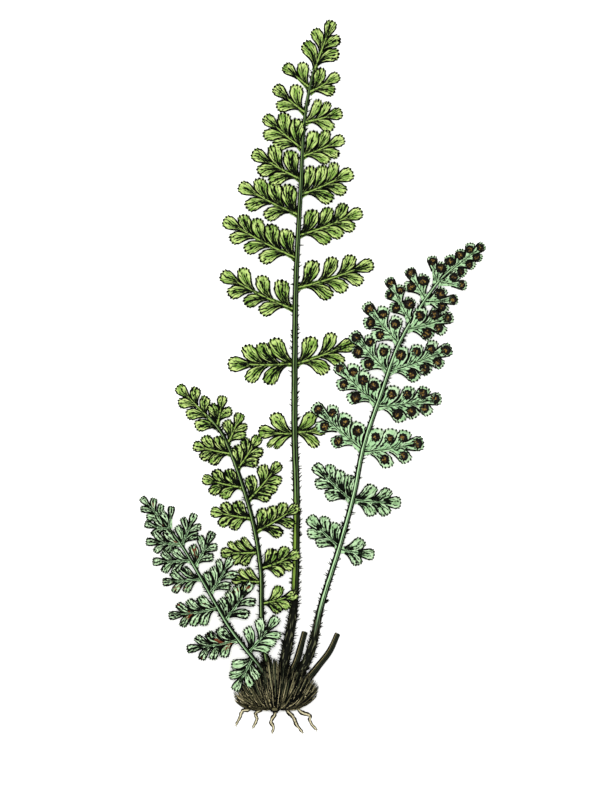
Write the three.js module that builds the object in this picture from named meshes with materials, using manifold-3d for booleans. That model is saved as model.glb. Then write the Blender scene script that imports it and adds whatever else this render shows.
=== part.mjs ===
// Lanceolate spleenwort, a small evergreen rock fern, lifted with its rhizome and roots and laid flat.
// Millimetres, +Z up. The surface is z = 0, the fronds point along +Y, and the origin is the middle of the
// flat spot that the rhizome rests on.

import * as THREE from 'three';
import { mergeVertices } from 'three/addons/utils/BufferGeometryUtils.js';
import Module from 'manifold-3d';

const wasm = await Module();
wasm.setup();

// Driving dimensions.
const BLADE = 0.7; // thickness of the leafy blade
const CLEAR = 0.4; // gap kept between separate pieces
const RIB = 0.75; // half width of the winged rib of a pinna
const BOW = 0.03; // how far a pinna's rib bows, as a share of its length
const WIDE_ANGLE = 62; // degrees from the rib of the lobes next to the stalk
const NARROW_ANGLE = 36; // and of those at the tip of the pinna
const LOBE_WIDTH = 0.56; // width of a lobe as a share of its length
const LOBE_FOOT = 0.15; // and half the width of its foot
const LOBE_GAP = 0.2; // between two lobes of a pinna
const FULL_REACH = 25; // pinnae at least this long have lobes of full size
const SMALLEST = 0.6; // and this is the size of the lobes of the very smallest
const TIP_LOBE = 0.8; // size of the lobes at a frond's tip
const SORUS_AT = 0.66; // where a sorus sits along its lobe
const SORUS_CROWN = 0.6; // how wide its top is, as a share of its foot
const DROOP = 0.5; // how far a blade hangs down at one lobe's length from its rib
const GOLDEN_ANGLE = Math.PI * (3 - Math.sqrt(5));

// How finely the solids are made.
const CORE_SIDES = 14;
const CORE_RINGS = 9;
const STALK_SIDES = 6;
const STALK_STEPS = 24;
const OLD_STALK_STEPS = 8;
const ROOT_SIDES = 4;
const ROOT_STEPS = 7;
const SORUS_SIDES = 5;
const SHORTEST = 0.02; // shorter edges are dropped
const SAME = 1e-4; // points this close are one

// The two rows of lobes on a pinna: the side they are on (1 towards the frond's tip), where the row starts
// along the rib, and the size of its lobes next to the stalk and far from it.
const LOWER_ROW = { side: -1, from: 0.14, near: 1, far: 0.8 };
const UPPER_ROW = { side: 1, from: 0.04, near: 1.12, far: 0.76 };
const END_SIZE = 0.95; // size of the lobe at the end
const END_MOST = 0.6; // and the most of the pinna that it takes

// Lobes that would touch are made this much narrower and fanned out by so many degrees, over and over. Those
// next to the stalk are fanned out more than those at the tip of the pinna.
const ROUNDS = 60;
const NARROWER = 0.97;
const FANNED = { near: 0.8, far: 0.2 };

// Materials.
const matt = (name, color, roughness) => {
  return new THREE.MeshStandardMaterial({ name, color, roughness, metalness: 0 });
};
const UPPER_SIDE = matt('upper_side', 0x6f9a35, 0.55);
const LOWER_SIDE = matt('lower_side', 0x83b98a, 0.55);
const SCALY = matt('scaly', 0x2b2417, 0.85);
const OLD_STALK = matt('old_stalk', 0x2f3322, 0.8);
const ROOT = matt('root', 0xb9a878, 0.8);

// The fronds. A stalk is a list of [x, y, height, radius]. A pinna is [foot, reach, lift, upper, lower]: the
// y where it leaves the stalk, its length, its slope from the X axis in degrees, and its lobes towards the
// frond's tip and towards its base, besides the one at the end. Its blade leaves the stalk with the slope
// rise and ends fall lower than it began, both as shares of its length.
const TALL = {
  name: 'frond_tall',
  material: UPPER_SIDE,
  stalk: [
    [1.5, 2.5, 11.5, 2.1],
    [4.8, 18.6, 9.6, 2.0],
    [7.4, 34, 6.8, 1.6],
    [8.4, 56, 4.0, 1.4],
    [8.6, 81, 2.8, 1.35],
    [7.8, 109, 2.2, 1.3],
    [7.9, 141, 2.4, 1.2],
    [8.4, 172, 4.2, 1.1],
    [10.4, 211, 5.6, 0.9],
    [12.2, 241, 4.4, 0.7],
    [15.4, 258, 2.8, 0.55],
    [17.4, 264, 2.0, 0.4],
  ],
  lobe: 10.0,
  rise: 0.1,
  fall: { left: 0.06, right: 0.06 },
  left: [
    [107.6, 14.4, 6, 1, 2],
    [137.2, 27.6, -2, 3, 2],
    [159.7, 34.7, 27, 3, 3],
    [181.4, 35.1, 29, 4, 3],
    [199.4, 28.4, 28, 3, 2],
    [214.3, 23.4, 31, 3, 2],
    [227.2, 21.2, 42, 2, 2],
    [242.3, 16.8, 42, 1, 1],
    [252.9, 14.2, 43, 1, 0],
  ],
  right: [
    [108.3, 13.0, 7, 1, 1],
    [137.0, 26.4, 21, 2, 2],
    [168.8, 33.8, 19, 3, 3],
    [190.8, 28.6, 23, 3, 3],
    [207.9, 24.2, 25, 3, 2],
    [224.0, 19.0, 25, 2, 2],
    [238.4, 16.5, 16, 2, 1],
    [250.8, 14.8, 32, 1, 1],
  ],
  tip: { foot: 260, reach: 22, lift: 70, upper: 3, lower: 3, height: 1.0 },
};

const FERTILE = {
  name: 'frond_fertile',
  material: LOWER_SIDE,
  stalk: [
    [8.0, 3.5, 12.0, 1.9],
    [14.5, 16.6, 11.4, 1.8],
    [19.0, 36, 9.8, 1.3],
    [26.8, 61, 8.0, 1.15],
    [32.8, 83, 7.0, 1.1],
    [36.6, 102, 6.6, 1.1],
    [44.6, 126, 6.6, 1.0],
    [51.4, 145, 6.4, 0.9],
    [59.6, 159.4, 5.4, 0.8],
    [69.0, 172.3, 3.8, 0.65],
    [76, 178.6, 2.6, 0.5],
  ],
  lobe: 8.8,
  rise: 0.12,
  fall: { left: 0.08, right: 0.22 },
  left: [
    [60.2, 18.0, 46, 2, 2],
    [79.5, 22.2, 45, 3, 2],
    [100.9, 27.8, 44, 3, 2],
    [119.8, 24.4, 46, 3, 2],
    [133.7, 22.4, 48, 2, 2],
    [145.5, 21.9, 51, 2, 2],
    [154.6, 20.6, 64, 2, 2],
    [164.2, 14.8, 62, 1, 1],
    [170.7, 11.9, 80, 1, 0],
  ],
  right: [
    [59.4, 15.2, -8, 1, 1],
    [80.0, 20.8, -2, 2, 2],
    [100.1, 26.4, 10, 3, 2],
    [119.0, 28.0, 9, 3, 3],
    [133.7, 28.4, 22, 3, 3],
    [151.4, 20.8, 17, 2, 2],
    [163.0, 14.6, 6, 1, 1],
    [171.4, 12.1, -6, 1, 0],
  ],
  tip: { foot: 174, reach: 21.5, lift: 38, upper: 3, lower: 3, height: 1.0 },
  // Radius as a share of the lobe's length, and at most of its width, height, and the first pinna with sori.
  sori: { size: 0.225, most: 0.34, height: 1.2, from: 95 },
};

const YOUNG = {
  name: 'frond_young',
  material: UPPER_SIDE,
  stalk: [
    [-2.2, 6.5, 9.5, 1.2],
    [-4.0, 14, 11.4, 1.15],
    [-5.6, 22, 12.0, 1.1],
    [-6.0, 33, 11.7, 1.05],
    [-6.3, 50, 10.0, 1.0],
    [-8.9, 67.5, 7.9, 0.95],
    [-14.4, 87.3, 5.6, 0.9],
    [-22.2, 107, 3.8, 0.8],
    [-28.6, 115.6, 2.6, 0.6],
  ],
  lobe: 8.4,
  rise: 0.08,
  fall: { left: 0.14, right: 0.08 },
  left: [
    [45.7, 12.6, 7, 2, 1],
    [58.2, 15.7, 0, 3, 2],
    [72.3, 17.9, 11, 2, 2],
    [85.1, 17.9, 14, 2, 2],
    [99.3, 16.8, 14, 2, 2],
  ],
  right: [
    [36.7, 15.4, 16, 1, 2],
    [51.3, 17.8, 23, 2, 2],
    [66.6, 21.3, 32, 3, 2],
    [79.5, 20.9, 51, 2, 3],
    [92.8, 16.6, 58, 2, 2],
    [103.4, 14.2, 68, 1, 2],
    [111.0, 12.8, 80, 1, 1],
  ],
  tip: { foot: 112.4, reach: 21.5, lift: 134, upper: 3, lower: 3, height: 1.0 },
};

const LOW = {
  name: 'frond_low',
  material: LOWER_SIDE,
  stalk: [
    [-2.6, 4.5, 12.5, 1.1],
    [-6.3, 9.8, 16.2, 1.05],
    [-12.4, 17.6, 17.4, 1.0],
    [-19.5, 27, 15.8, 0.95],
    [-24.6, 35.5, 13.4, 0.9],
    [-30.8, 46.4, 10.4, 0.85],
    [-39.6, 61, 6.2, 0.7],
    [-46, 69.4, 3.8, 0.5],
    [-48.6, 72.6, 3.0, 0.4],
  ],
  lobe: 8.0,
  rise: 0.08,
  fall: { left: 0.12, right: 0.1 },
  left: [
    [14.4, 16.4, -60, 2, 2],
    [21.7, 22.1, -9, 3, 3],
    [34.9, 21.0, -8, 3, 3],
    [47.1, 16.8, -4, 2, 2],
    [54.8, 16.4, -1, 2, 2],
    [61.4, 15.0, 6, 2, 2],
    [67.6, 11.2, 14, 1, 1],
  ],
  right: [
    [16.5, 19.2, 52, 2, 3],
    [29.7, 18.9, 57, 2, 2],
    [40.8, 17.4, 60, 2, 2],
    [52.0, 16.8, 64, 2, 2],
    [61.0, 14.4, 69, 2, 2],
    [68.0, 9.6, 85, 1, 0],
  ],
  tip: { foot: 70.6, reach: 14.4, lift: 133, upper: 2, lower: 2, height: 1.0 },
};

// The rhizome: a solid core, and the tuft's ends, which stand round it and fan out towards +Y.
const CORE = { middle: [0, 0, 9.2], radii: [15.4, 8.0, 9.8] };
const TUFT = { middle: [0.5, 1, 9.6], radii: [18.8, 15.2, 9.8] };

// A strand of the tuft starts in the core, comes out of it and ends on the tuft's outline. Its angles are
// from the +Y axis, behind the angle of its end, and depths are shares of the core's size.
const STRANDS = 46;
const STRAND = { start: 1.1, startDepth: 0.93, bend: 0.45, bendDepth: 1.02, radius: 1.6, endRadius: 0.2 };
const LAST_STRAND = -0.4; // cosine of the angle of the strand that ends furthest back
const UNEVEN = 0.03; // strands end up to four times this share short of the outline

const OLD_STALKS = [
  [
    [5.0, 5, 8.4, 1.6],
    [8.4, 12, 8.2, 1.5],
    [10.5, 19, 7.2, 1.35],
    [12.0, 24.6, 6.0, 1.2],
  ],
  [
    [11.6, 3, 8.4, 1.6],
    [17.2, 9.8, 7.8, 1.5],
    [22.4, 16.6, 6.0, 1.3],
    [25.8, 23.8, 4.4, 1.2],
  ],
];

const ROOTS = [
  [
    [-8.4, -4.6, 5.0, 0.55],
    [-11.4, -8.0, 2.4, 0.55],
    [-14.2, -8.9, 0.9, 0.5],
    [-15.1, -11.3, 0.6, 0.45],
    [-16.6, -14.4, 0.4, 0.3],
  ],
  [
    [-4.4, -5.2, 4.8, 0.55],
    [-6.4, -8.2, 2.2, 0.55],
    [-8.5, -9.8, 0.8, 0.5],
    [-8.1, -12.4, 0.6, 0.45],
    [-9.6, -15.6, 0.4, 0.3],
  ],
  [
    [0.2, -5.4, 4.6, 0.55],
    [-0.1, -8.6, 1.8, 0.55],
    [-0.7, -10.6, 0.7, 0.5],
    [-2.1, -13.2, 0.6, 0.45],
    [-1.0, -15.6, 0.5, 0.4],
    [-1.5, -17.6, 0.4, 0.3],
  ],
  [
    [2.6, -5.4, 4.8, 0.55],
    [4.6, -8.4, 2.0, 0.55],
    [7.2, -11.2, 0.8, 0.5],
    [8.7, -14.6, 0.6, 0.45],
    [11.0, -17.6, 0.4, 0.3],
  ],
  [
    [6.4, -4.6, 5.0, 0.55],
    [9.0, -7.6, 2.4, 0.55],
    [11.4, -9.7, 1.0, 0.5],
    [14.0, -10.6, 0.8, 0.5],
    [14.5, -13.6, 0.6, 0.4],
    [16.8, -16.4, 0.4, 0.3],
  ],
];

const radians = THREE.MathUtils.degToRad;
const { lerp, clamp } = THREE.MathUtils;

// A closed three.js geometry as a solid for cutting and joining, and back.
function solidOf(geometry) {
  const bare = geometry.clone();
  bare.deleteAttribute('normal');
  bare.deleteAttribute('uv');
  const merged = mergeVertices(bare, SAME);
  return new wasm.Manifold(
    new wasm.Mesh({
      numProp: 3,
      vertProperties: merged.attributes.position.array,
      triVerts: new Uint32Array(merged.index.array),
    }),
  );
}

function meshOf(solid, name, material) {
  const { vertProperties, triVerts } = solid.getMesh();
  const geometry = new THREE.BufferGeometry();
  geometry.setAttribute('position', new THREE.BufferAttribute(new Float32Array(vertProperties), 3));
  geometry.setIndex(new THREE.BufferAttribute(new Uint32Array(triVerts), 1));
  geometry.computeVertexNormals();
  const mesh = new THREE.Mesh(geometry, material);
  mesh.name = name;
  return mesh;
}

// The biggest of the bodies that a cut leaves: what it freed is dropped.
const biggest = (solid) => solid.decompose().sort((a, b) => b.volume() - a.volume())[0];

// A stalk or root: its centre line and its radius, both from the list of [x, y, height, radius].
class Stem {
  constructor(points) {
    this.line = new THREE.CatmullRomCurve3(points.map(([x, y, z]) => new THREE.Vector3(x, y, z)));
    this.radii = points.map((p) => p[3]);
    this.spans = points.length - 1;
  }
  radius(t) {
    const at = clamp(t, 0, 1) * this.spans;
    const i = Math.min(Math.floor(at), this.spans - 1);
    return lerp(this.radii[i], this.radii[i + 1], at - i);
  }
  // The share of the line where it passes the height y, for a line that climbs all the way.
  shareAt(y) {
    let [low, high] = [0, 1];
    for (let i = 0; i < 40; i++) {
      const middle = (low + high) / 2;
      if (this.line.getPoint(middle).y < y) low = middle;
      else high = middle;
    }
    return low;
  }
  // A round bar along the line: a cylinder bent onto it. grown widens it, and lengthens both ends as much.
  solid(sides, steps, grown = 0) {
    const bar = new THREE.CylinderGeometry(1, 1, 1, sides, steps);
    const position = bar.attributes.position;
    const up = new THREE.Vector3(0, 0, 1);
    for (let i = 0; i < position.count; i++) {
      const t = position.getY(i) + 0.5;
      const along = this.line.getTangent(t);
      const across = new THREE.Vector3().crossVectors(along, up).normalize();
      const raised = new THREE.Vector3().crossVectors(across, along);
      const radius = this.radius(t) + grown;
      const end = (t > 1 - SAME ? grown : 0) - (t < SAME ? grown : 0);
      const point = this.line
        .getPoint(t)
        .addScaledVector(across, position.getX(i) * radius)
        .addScaledVector(raised, position.getZ(i) * radius)
        .addScaledVector(along, end);
      position.setXYZ(i, point.x, point.y, point.z);
    }
    return solidOf(bar);
  }
}

// The outline of a lobe, from the side nearer the stalk round to the other: a wedge that rounds off to a
// blunt end. It runs from 0 at its foot to 1 at its end and is 1 wide.
const SIDE_LOBE = [[0.36, -0.37], [0.74, -0.5], [0.97, -0.22], [0.97, 0.22], [0.74, 0.5]];
const END_LOBE = [[0.72, -0.5], [0.97, -0.24], [0.97, 0.24], [0.72, 0.5]];

// The size of the lobes on a pinna, and the angle they stand at, as a share of those of a long one.
const sizeFor = (reach) => lerp(SMALLEST, 1, Math.min(reach / FULL_REACH, 1));

// The lobes of a pinna, in turn round it: the lower row, the end lobe and the upper row. Each has its share
// s of the rib, its side (0 at the end), length, width, angle to the rib, and half the stretch of the rib's
// edge that it takes.
function lobesOf({ reach, lobe, upper, lower }) {
  const endLength = Math.min(lobe * END_SIZE, reach * END_MOST);
  const end = 1 - endLength / reach;
  const rowOf = (count, { side, from, near, far }) => {
    const step = ((1 - from) * end) / count;
    return Array.from({ length: count }, (_, i) => {
      const s = from * end + (i + 0.5) * step;
      const length = lobe * lerp(near, far, s);
      const angle = sizeFor(reach) * lerp(WIDE_ANGLE, NARROW_ANGLE, s);
      const foot = (LOBE_FOOT * length) / Math.sin(radians(angle));
      const room = 0.5 * step * reach - LOBE_GAP;
      return { s, side, length, width: LOBE_WIDTH * length, angle, half: Math.min(foot, room) / reach };
    });
  };
  const last = { s: end, side: 0, length: endLength, width: LOBE_WIDTH * endLength, angle: 0, half: 0 };
  return [...rowOf(lower, LOWER_ROW), last, ...rowOf(upper, UPPER_ROW)];
}

// Whether a straight cut along an edge of either outline parts the two with a gap.
function apart(one, other) {
  return [one, other].some((outline) =>
    outline.some((corner, i) => {
      const edge = outline[(i + 1) % outline.length].clone().sub(corner);
      const normal = new THREE.Vector2(-edge.y, edge.x).normalize();
      const [a, b] = [one, other].map((points) => points.map((p) => p.dot(normal)));
      return Math.min(...a) > Math.max(...b) + LOBE_GAP || Math.min(...b) > Math.max(...a) + LOBE_GAP;
    }),
  );
}

// The blade of one pinna as a flat net with a height at each point: a ring of points for the rib and one for
// each lobe, each to be filled with triangles. With sori, each lobe's ring has a heap on it.
function pinnaNet({ root, along, reach, turn, bow, lobe, upper, lower, height, sori }) {
  const normal = new THREE.Vector2(-along.y, along.x).multiplyScalar(turn);
  const rib = (s, off = 0) =>
    root
      .clone()
      .addScaledVector(along, s * reach)
      .addScaledVector(normal, off - bow * reach * 4 * s * (1 - s));
  const onLobe = ({ s, side, length, width, angle }, a, b) => {
    const [ahead, aside] = [a * length, b * width];
    if (!side) return rib(s).addScaledVector(along, ahead).addScaledVector(normal, aside);
    const [cos, sin] = [Math.cos(radians(angle)), Math.sin(radians(angle))];
    return rib(s)
      .addScaledVector(along, ahead * cos + aside * sin)
      .addScaledVector(normal, side * (ahead * sin - aside * cos));
  };
  const outlineOf = (l) => [
    rib(l.s - l.half, (l.side || -1) * RIB),
    ...(l.side ? SIDE_LOBE : END_LOBE).map(([a, b]) => onLobe(l, a, b)),
    rib(l.s + l.half, (l.side || 1) * RIB),
  ];
  const lobes = lobesOf({ reach, lobe, upper, lower });
  for (let round = 0; round < ROUNDS; round++) {
    const outlines = lobes.map(outlineOf);
    const touches = (i) => outlines.some((outline, k) => k !== i && !apart(outlines[i], outline));
    for (const l of lobes.filter((_, i) => touches(i))) {
      l.width *= NARROWER;
      if (l.side) l.angle += lerp(FANNED.near, FANNED.far, l.s);
    }
  }

  const points = [];
  const add = (p, raised = 0) => {
    const from = p.clone().sub(root);
    const z = height(clamp(from.dot(along) / reach, 0, 1), from.dot(normal) / lobe);
    points.push([p.x, p.y, z + raised]);
    return points.length - 1;
  };
  const circle = (middle, radius, raised) =>
    Array.from({ length: SORUS_SIDES }, (_, i) => {
      const turned = (i / SORUS_SIDES) * 2 * Math.PI;
      const spoke = new THREE.Vector2(Math.cos(turned), Math.sin(turned));
      return add(spoke.multiplyScalar(radius).add(middle), raised);
    });
  const heapOn = (l) => {
    const middle = onLobe(l, SORUS_AT, 0);
    const radius = Math.min(sori.size * l.length, sori.most * l.width);
    return { foot: circle(middle, radius, 0), crown: circle(middle, SORUS_CROWN * radius, sori.height) };
  };
  const rings = lobes.map((l) => ({ ring: outlineOf(l).map((p) => add(p)), heap: sori && heapOn(l) }));
  const feet = rings.map(({ ring }) => [ring[0], ring[ring.length - 1]]);
  const edge = [...feet.slice(0, lower + 1).flat(), ...feet.slice(lower + 1).flat().toReversed()];
  rings.push({ ring: [add(rib(0, -RIB)), ...edge, add(rib(0, RIB))] });
  return { points, rings };
}

// A net given its thickness: triangles on both faces, with the heaps on the upper one, and a wall along its
// edge.
function thicken({ points, rings }) {
  const flat = points.map(([x, y]) => new THREE.Vector2(x, y));
  const corners = (list) => list.map((i) => flat[i]);
  const fill = (ring, hole = []) => {
    const all = [...ring, ...hole];
    const holes = hole.length ? [corners(hole)] : [];
    return THREE.ShapeUtils.triangulateShape(corners(ring), holes).map((triangle) => {
      const [a, b, c] = triangle.map((i) => all[i]);
      const turn = flat[b].clone().sub(flat[a]).cross(flat[c].clone().sub(flat[a]));
      return turn > 0 ? [a, b, c] : [a, c, b];
    });
  };
  const band = (foot, crown) =>
    foot.flatMap((a, i) => {
      const next = (i + 1) % foot.length;
      return [[a, foot[next], crown[next]], [a, crown[next], crown[i]]];
    });
  const upper = rings.flatMap(({ ring, heap }) =>
    heap ? [fill(ring, heap.foot), band(heap.foot, heap.crown), fill(heap.crown)].flat() : fill(ring),
  );
  const lower = rings.flatMap(({ ring }) => fill(ring));
  const edges = new Map();
  for (const [a, b, c] of lower)
    for (const [from, to] of [[a, b], [b, c], [c, a]]) {
      if (!edges.delete(`${to} ${from}`)) edges.set(`${from} ${to}`, [from, to]);
    }
  const count = points.length;
  const face = (raised) => points.flatMap(([x, y, z]) => [x, y, z + raised]);
  const positions = [...face(BLADE / 2), ...face(-BLADE / 2)];
  const index = [...upper.flat(), ...lower.flatMap(([a, b, c]) => [a + count, c + count, b + count])];
  for (const [from, to] of edges.values()) {
    index.push(from, from + count, to, to, from + count, to + count);
  }
  const geometry = new THREE.BufferGeometry();
  geometry.setAttribute('position', new THREE.BufferAttribute(new Float32Array(positions), 3));
  geometry.setIndex(index);
  return geometry;
}

// The pinnae of a frond and its lobed tip, as nets.
function pinnaeOf(frond, stem) {
  const netOf = (foot, turn, lift, heightFrom, more) => {
    const root = stem.line.getPoint(stem.shareAt(foot));
    const along = new THREE.Vector2(turn * Math.cos(radians(lift)), Math.sin(radians(lift)));
    // The height of the blade's middle at a share s of the rib, off to its side by so many lobes.
    const height = (s, off) => Math.max(heightFrom(root.z, s) - DROOP * off * off, BLADE / 2);
    return pinnaNet({ root: new THREE.Vector2(root.x, root.y), along, turn, height, ...more });
  };
  const sideNet = (side, turn, [foot, reach, lift, upper, lower]) => {
    const fall = frond.rise + frond.fall[side];
    const arched = (z, s) => z + reach * (frond.rise * s - fall * s * s);
    const lobe = frond.lobe * sizeFor(reach);
    const sori = foot > frond.sori?.from ? frond.sori : null;
    return netOf(foot, turn, lift, arched, { reach, upper, lower, bow: BOW, lobe, sori });
  };
  const { foot, reach, lift, upper, lower, height } = frond.tip;
  const straight = (z, s) => lerp(z, height, s);
  const tip = { reach, upper, lower, bow: 0, lobe: frond.lobe * TIP_LOBE, sori: frond.sori };
  return [
    ...frond.left.map((row) => sideNet('left', -1, row)),
    ...frond.right.map((row) => sideNet('right', 1, row)),
    netOf(foot, 1, lift, straight, tip),
  ];
}

function frondSolid(frond) {
  const stalk = frond.stem.solid(STALK_SIDES, STALK_STEPS);
  const pinnae = pinnaeOf(frond, frond.stem).map((net) => solidOf(thicken(net)));
  return wasm.Manifold.union([stalk, ...pinnae]).simplify(SHORTEST);
}

// The point of an ellipsoid at an angle from its +Y axis and a turn about that axis.
const onEllipsoid = ({ middle, radii }, angle, turn, share) => {
  const direction = [Math.sin(angle) * Math.cos(turn), Math.cos(angle), Math.sin(angle) * Math.sin(turn)];
  return middle.map((m, i) => m + share * radii[i] * direction[i]);
};

// The core with the strands of the tuft on it: each lies along the core towards +Y, and its end stands off.
function rhizomeSolid() {
  const core = new THREE.SphereGeometry(1, CORE_SIDES, CORE_RINGS);
  core.rotateX(Math.PI / 2);
  core.scale(...CORE.radii);
  core.translate(...CORE.middle);
  const strands = Array.from({ length: STRANDS }, (_, i) => {
    const angle = Math.acos(lerp(1, LAST_STRAND, (i + 0.5) / STRANDS));
    const turn = i * GOLDEN_ANGLE;
    const reach = 1 - UNEVEN * ((i * 7) % 5);
    return new Stem([
      [...onEllipsoid(CORE, angle + STRAND.start, turn, STRAND.startDepth), 0.5 * STRAND.radius],
      [...onEllipsoid(CORE, angle + STRAND.bend, turn, STRAND.bendDepth), STRAND.radius],
      [...onEllipsoid(TUFT, angle, turn, reach), STRAND.endRadius],
    ]).solid(3, 2);
  });
  return wasm.Manifold.union([solidOf(core), ...strands]);
}

// The flat spot is cut level, and the tuft is pressed down where the low frond's first pinna lies over it.
const boxBetween = (low, high) => {
  const size = high.map((value, i) => value - low[i]);
  const box = new THREE.BoxGeometry(...size);
  box.translate(...low.map((value, i) => value + size[i] / 2));
  return solidOf(box);
};
const below = boxBetween([-50, -50, -20], [50, 50, 0]);
const pressed = boxBetween([-27.6, -11, 15], [-7.6, 9, 25]);

const fronds = [TALL, FERTILE, YOUNG, LOW].map((frond) => ({ ...frond, stem: new Stem(frond.stalk) }));
const oldStalks = OLD_STALKS.map((points) => new Stem(points));
const roots = ROOTS.map((points) => new Stem(points));

// Everything that grows from the rhizome sits in a hole of its own shape, a little wider all round. Round
// the four-sided roots the hole is wider still, because its flats come closer than its corners.
const sockets = [
  ...fronds.map(({ stem }) => stem.solid(STALK_SIDES, STALK_STEPS, CLEAR)),
  ...oldStalks.map((stem) => stem.solid(STALK_SIDES, OLD_STALK_STEPS, CLEAR)),
  ...roots.map((stem) => stem.solid(ROOT_SIDES, ROOT_STEPS, 1.25 * CLEAR)),
];
const cut = wasm.Manifold.union([below, pressed, ...sockets]);
const rhizome = biggest(rhizomeSolid().subtract(cut)).simplify(3 * SHORTEST);

const plant = new THREE.Group();
plant.add(meshOf(rhizome, 'rhizome', SCALY));
for (const frond of fronds) plant.add(meshOf(frondSolid(frond), frond.name, frond.material));
oldStalks.forEach((stem, i) => {
  plant.add(meshOf(stem.solid(STALK_SIDES, OLD_STALK_STEPS), `old_stalk_${i + 1}`, OLD_STALK));
});
roots.forEach((stem, i) => {
  plant.add(meshOf(stem.solid(ROOT_SIDES, ROOT_STEPS), `root_${i + 1}`, ROOT));
});

export default plant;
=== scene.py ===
import functools
import math
import random

import bmesh
import bpy
from mathutils import Matrix, Vector, noise


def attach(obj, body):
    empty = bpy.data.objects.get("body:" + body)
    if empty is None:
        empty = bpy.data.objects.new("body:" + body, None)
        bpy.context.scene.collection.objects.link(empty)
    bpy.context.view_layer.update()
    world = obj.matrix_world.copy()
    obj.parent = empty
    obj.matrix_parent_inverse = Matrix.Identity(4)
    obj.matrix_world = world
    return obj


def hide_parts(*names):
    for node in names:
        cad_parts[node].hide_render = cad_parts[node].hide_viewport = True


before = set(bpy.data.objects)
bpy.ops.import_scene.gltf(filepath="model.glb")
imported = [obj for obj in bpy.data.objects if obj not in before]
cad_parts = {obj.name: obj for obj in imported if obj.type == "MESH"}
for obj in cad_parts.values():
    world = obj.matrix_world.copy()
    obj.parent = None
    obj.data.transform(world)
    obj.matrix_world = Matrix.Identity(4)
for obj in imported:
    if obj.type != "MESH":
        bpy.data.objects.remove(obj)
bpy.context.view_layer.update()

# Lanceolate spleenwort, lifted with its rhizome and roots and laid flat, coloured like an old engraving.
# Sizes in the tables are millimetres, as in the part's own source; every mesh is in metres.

MM = 0.001
UP = Vector((0, 0, 1))

# How the leafy blade is laid out, as in the part's own source.
WIDE_ANGLE = 62  # degrees from the rib of the lobes next to the stalk
NARROW_ANGLE = 36  # and of those at the tip of the pinna
BOW = 0.03  # how far a pinna's rib bows, as a share of its length
FULL_REACH = 25  # pinnae at least this long have lobes of full size
SMALLEST = 0.6  # and this is the size of the lobes of the very smallest
TIP_LOBE = 0.76  # size of the lobes at a frond's tip
END_SIZE = 0.95  # length of the lobe at a pinna's end, as a share of the usual
END_MOST = 0.6  # and as a share of the pinna at most
# The lower and the upper lobes: their side, where on the rib they start, and the size of the first and last.
LOBE_SIDES = [(-1, 0.14, 1, 0.8), (1, 0.04, 1.12, 0.76)]
SAG = 0.5  # how much lower a blade is at a lobe's length from its rib
LOWEST = 0.3  # lowest height of a blade's middle

# What the finer blade adds.
BLADE = 0.34  # thickness
LOBE_WIDTH = 0.62  # width of a lobe as a share of its length, where its neighbours leave room for it
CROWDED = 1.36  # its width as a share of the room between its neighbours, where they don't
START_TURN = 0.4  # a lobe leaves the rib at this share of its angle
END_TURN = 1.25  # and ends at this share of it
LOBE_COLUMNS = 14  # one tooth to every second column
LOBE_ROWS = 5
ROWS_CROWD = 0.85  # rows stand closer towards a lobe's end
ROUND_FROM = 96  # degrees that a lobe's outline turns on each side of its end
WIDEST = 0.64  # where a lobe is widest, as a share of its length
BLUNT = 0.8  # powers below one make its end blunter
NOTCHES = 1.7  # how fast its notches follow one another
TOOTH = 0.06  # length of a tooth, as a share of the lobe's size
OUTLINE_STEPS = 12  # how finely its outline is measured
PLEAT = 0.05  # height of the veins over the furrows between them
PLEAT_END = 1.1  # they end a little before the lobe does
CUP = 0.07  # how much a lobe's middle stands over its edges, as a share of its width
CUP_FULL = 0.5  # from this share of its length on
CURL = 0.18  # how far its end curls down
CURL_FROM = 0.75
SHINGLE = 0.14  # how much a lobe tilts, so that it lies over its neighbour
SHINGLE_VARIES = (0.5, 1.2)
END_SHINGLE = 0.3  # the lobe at the end tilts by this share of it
END_LIFT = 0.1  # and lies this much higher
LIFT_VARIES = (-0.08, 0.1)
LENGTH_VARIES = (0.96, 1.05)
WIDTH_VARIES = (0.94, 1.06)
INK_LINE = 0.72  # width of the dark line round a lobe

# The rib of a pinna, and the green wing on both sides of it.
RIB_COLUMNS = 8
RIB_ROWS = 14
RIB_END = 0.96  # where it would end without a lobe at its end, as a share of the pinna
RIB_IN_LOBE = 0.4  # the share of that lobe that it doesn't reach
RIB = 0.46  # half the width of the raised rib, as a share of the wing's
RIB_RAISED = 0.3
WING = 1.05  # half the width of the wing
WING_END = 0.35  # share of that at the pinna's end
WING_TAPER = 1.5  # powers over one keep it wide for longer
WING_SUNK = 0.06
FLARE = 0.7  # how much wider it is at the stalk
FLARE_LENGTH = 1.8  # and over what length

# The sori: each a flat bed with a heap of spore cases on it.
SORUS_AT = (0.6, 0.67)  # where on a lobe's middle line
SORUS_SHARE = 0.42  # its radius as a share of the lobe's width
SORUS_RADIUS = (1.3, 2.15)  # its smallest and largest radius
SORUS_VARIES = (0.92, 1.1)
BED_HEIGHT = 0.55
BED_FLAT = 0.16  # its thickness, as a share of its width
CASES = 38
CASE_TURN = math.radians(137.5)  # from each spore case to the next
CASE_STRAYS = (-0.2, 0.2)
CASE_SIZE = (0.16, 0.21)  # as a share of the sorus
CASE_HEIGHT = 0.6
HEAP = 0.45  # how much higher the heap is at its middle
GOLD_MIDDLE = 1.1  # how golden it is at its middle
GOLD_FALLS = 1.15  # and how much less at its edge
GOLD_VARIES = (-0.5, 0.3)

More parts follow.
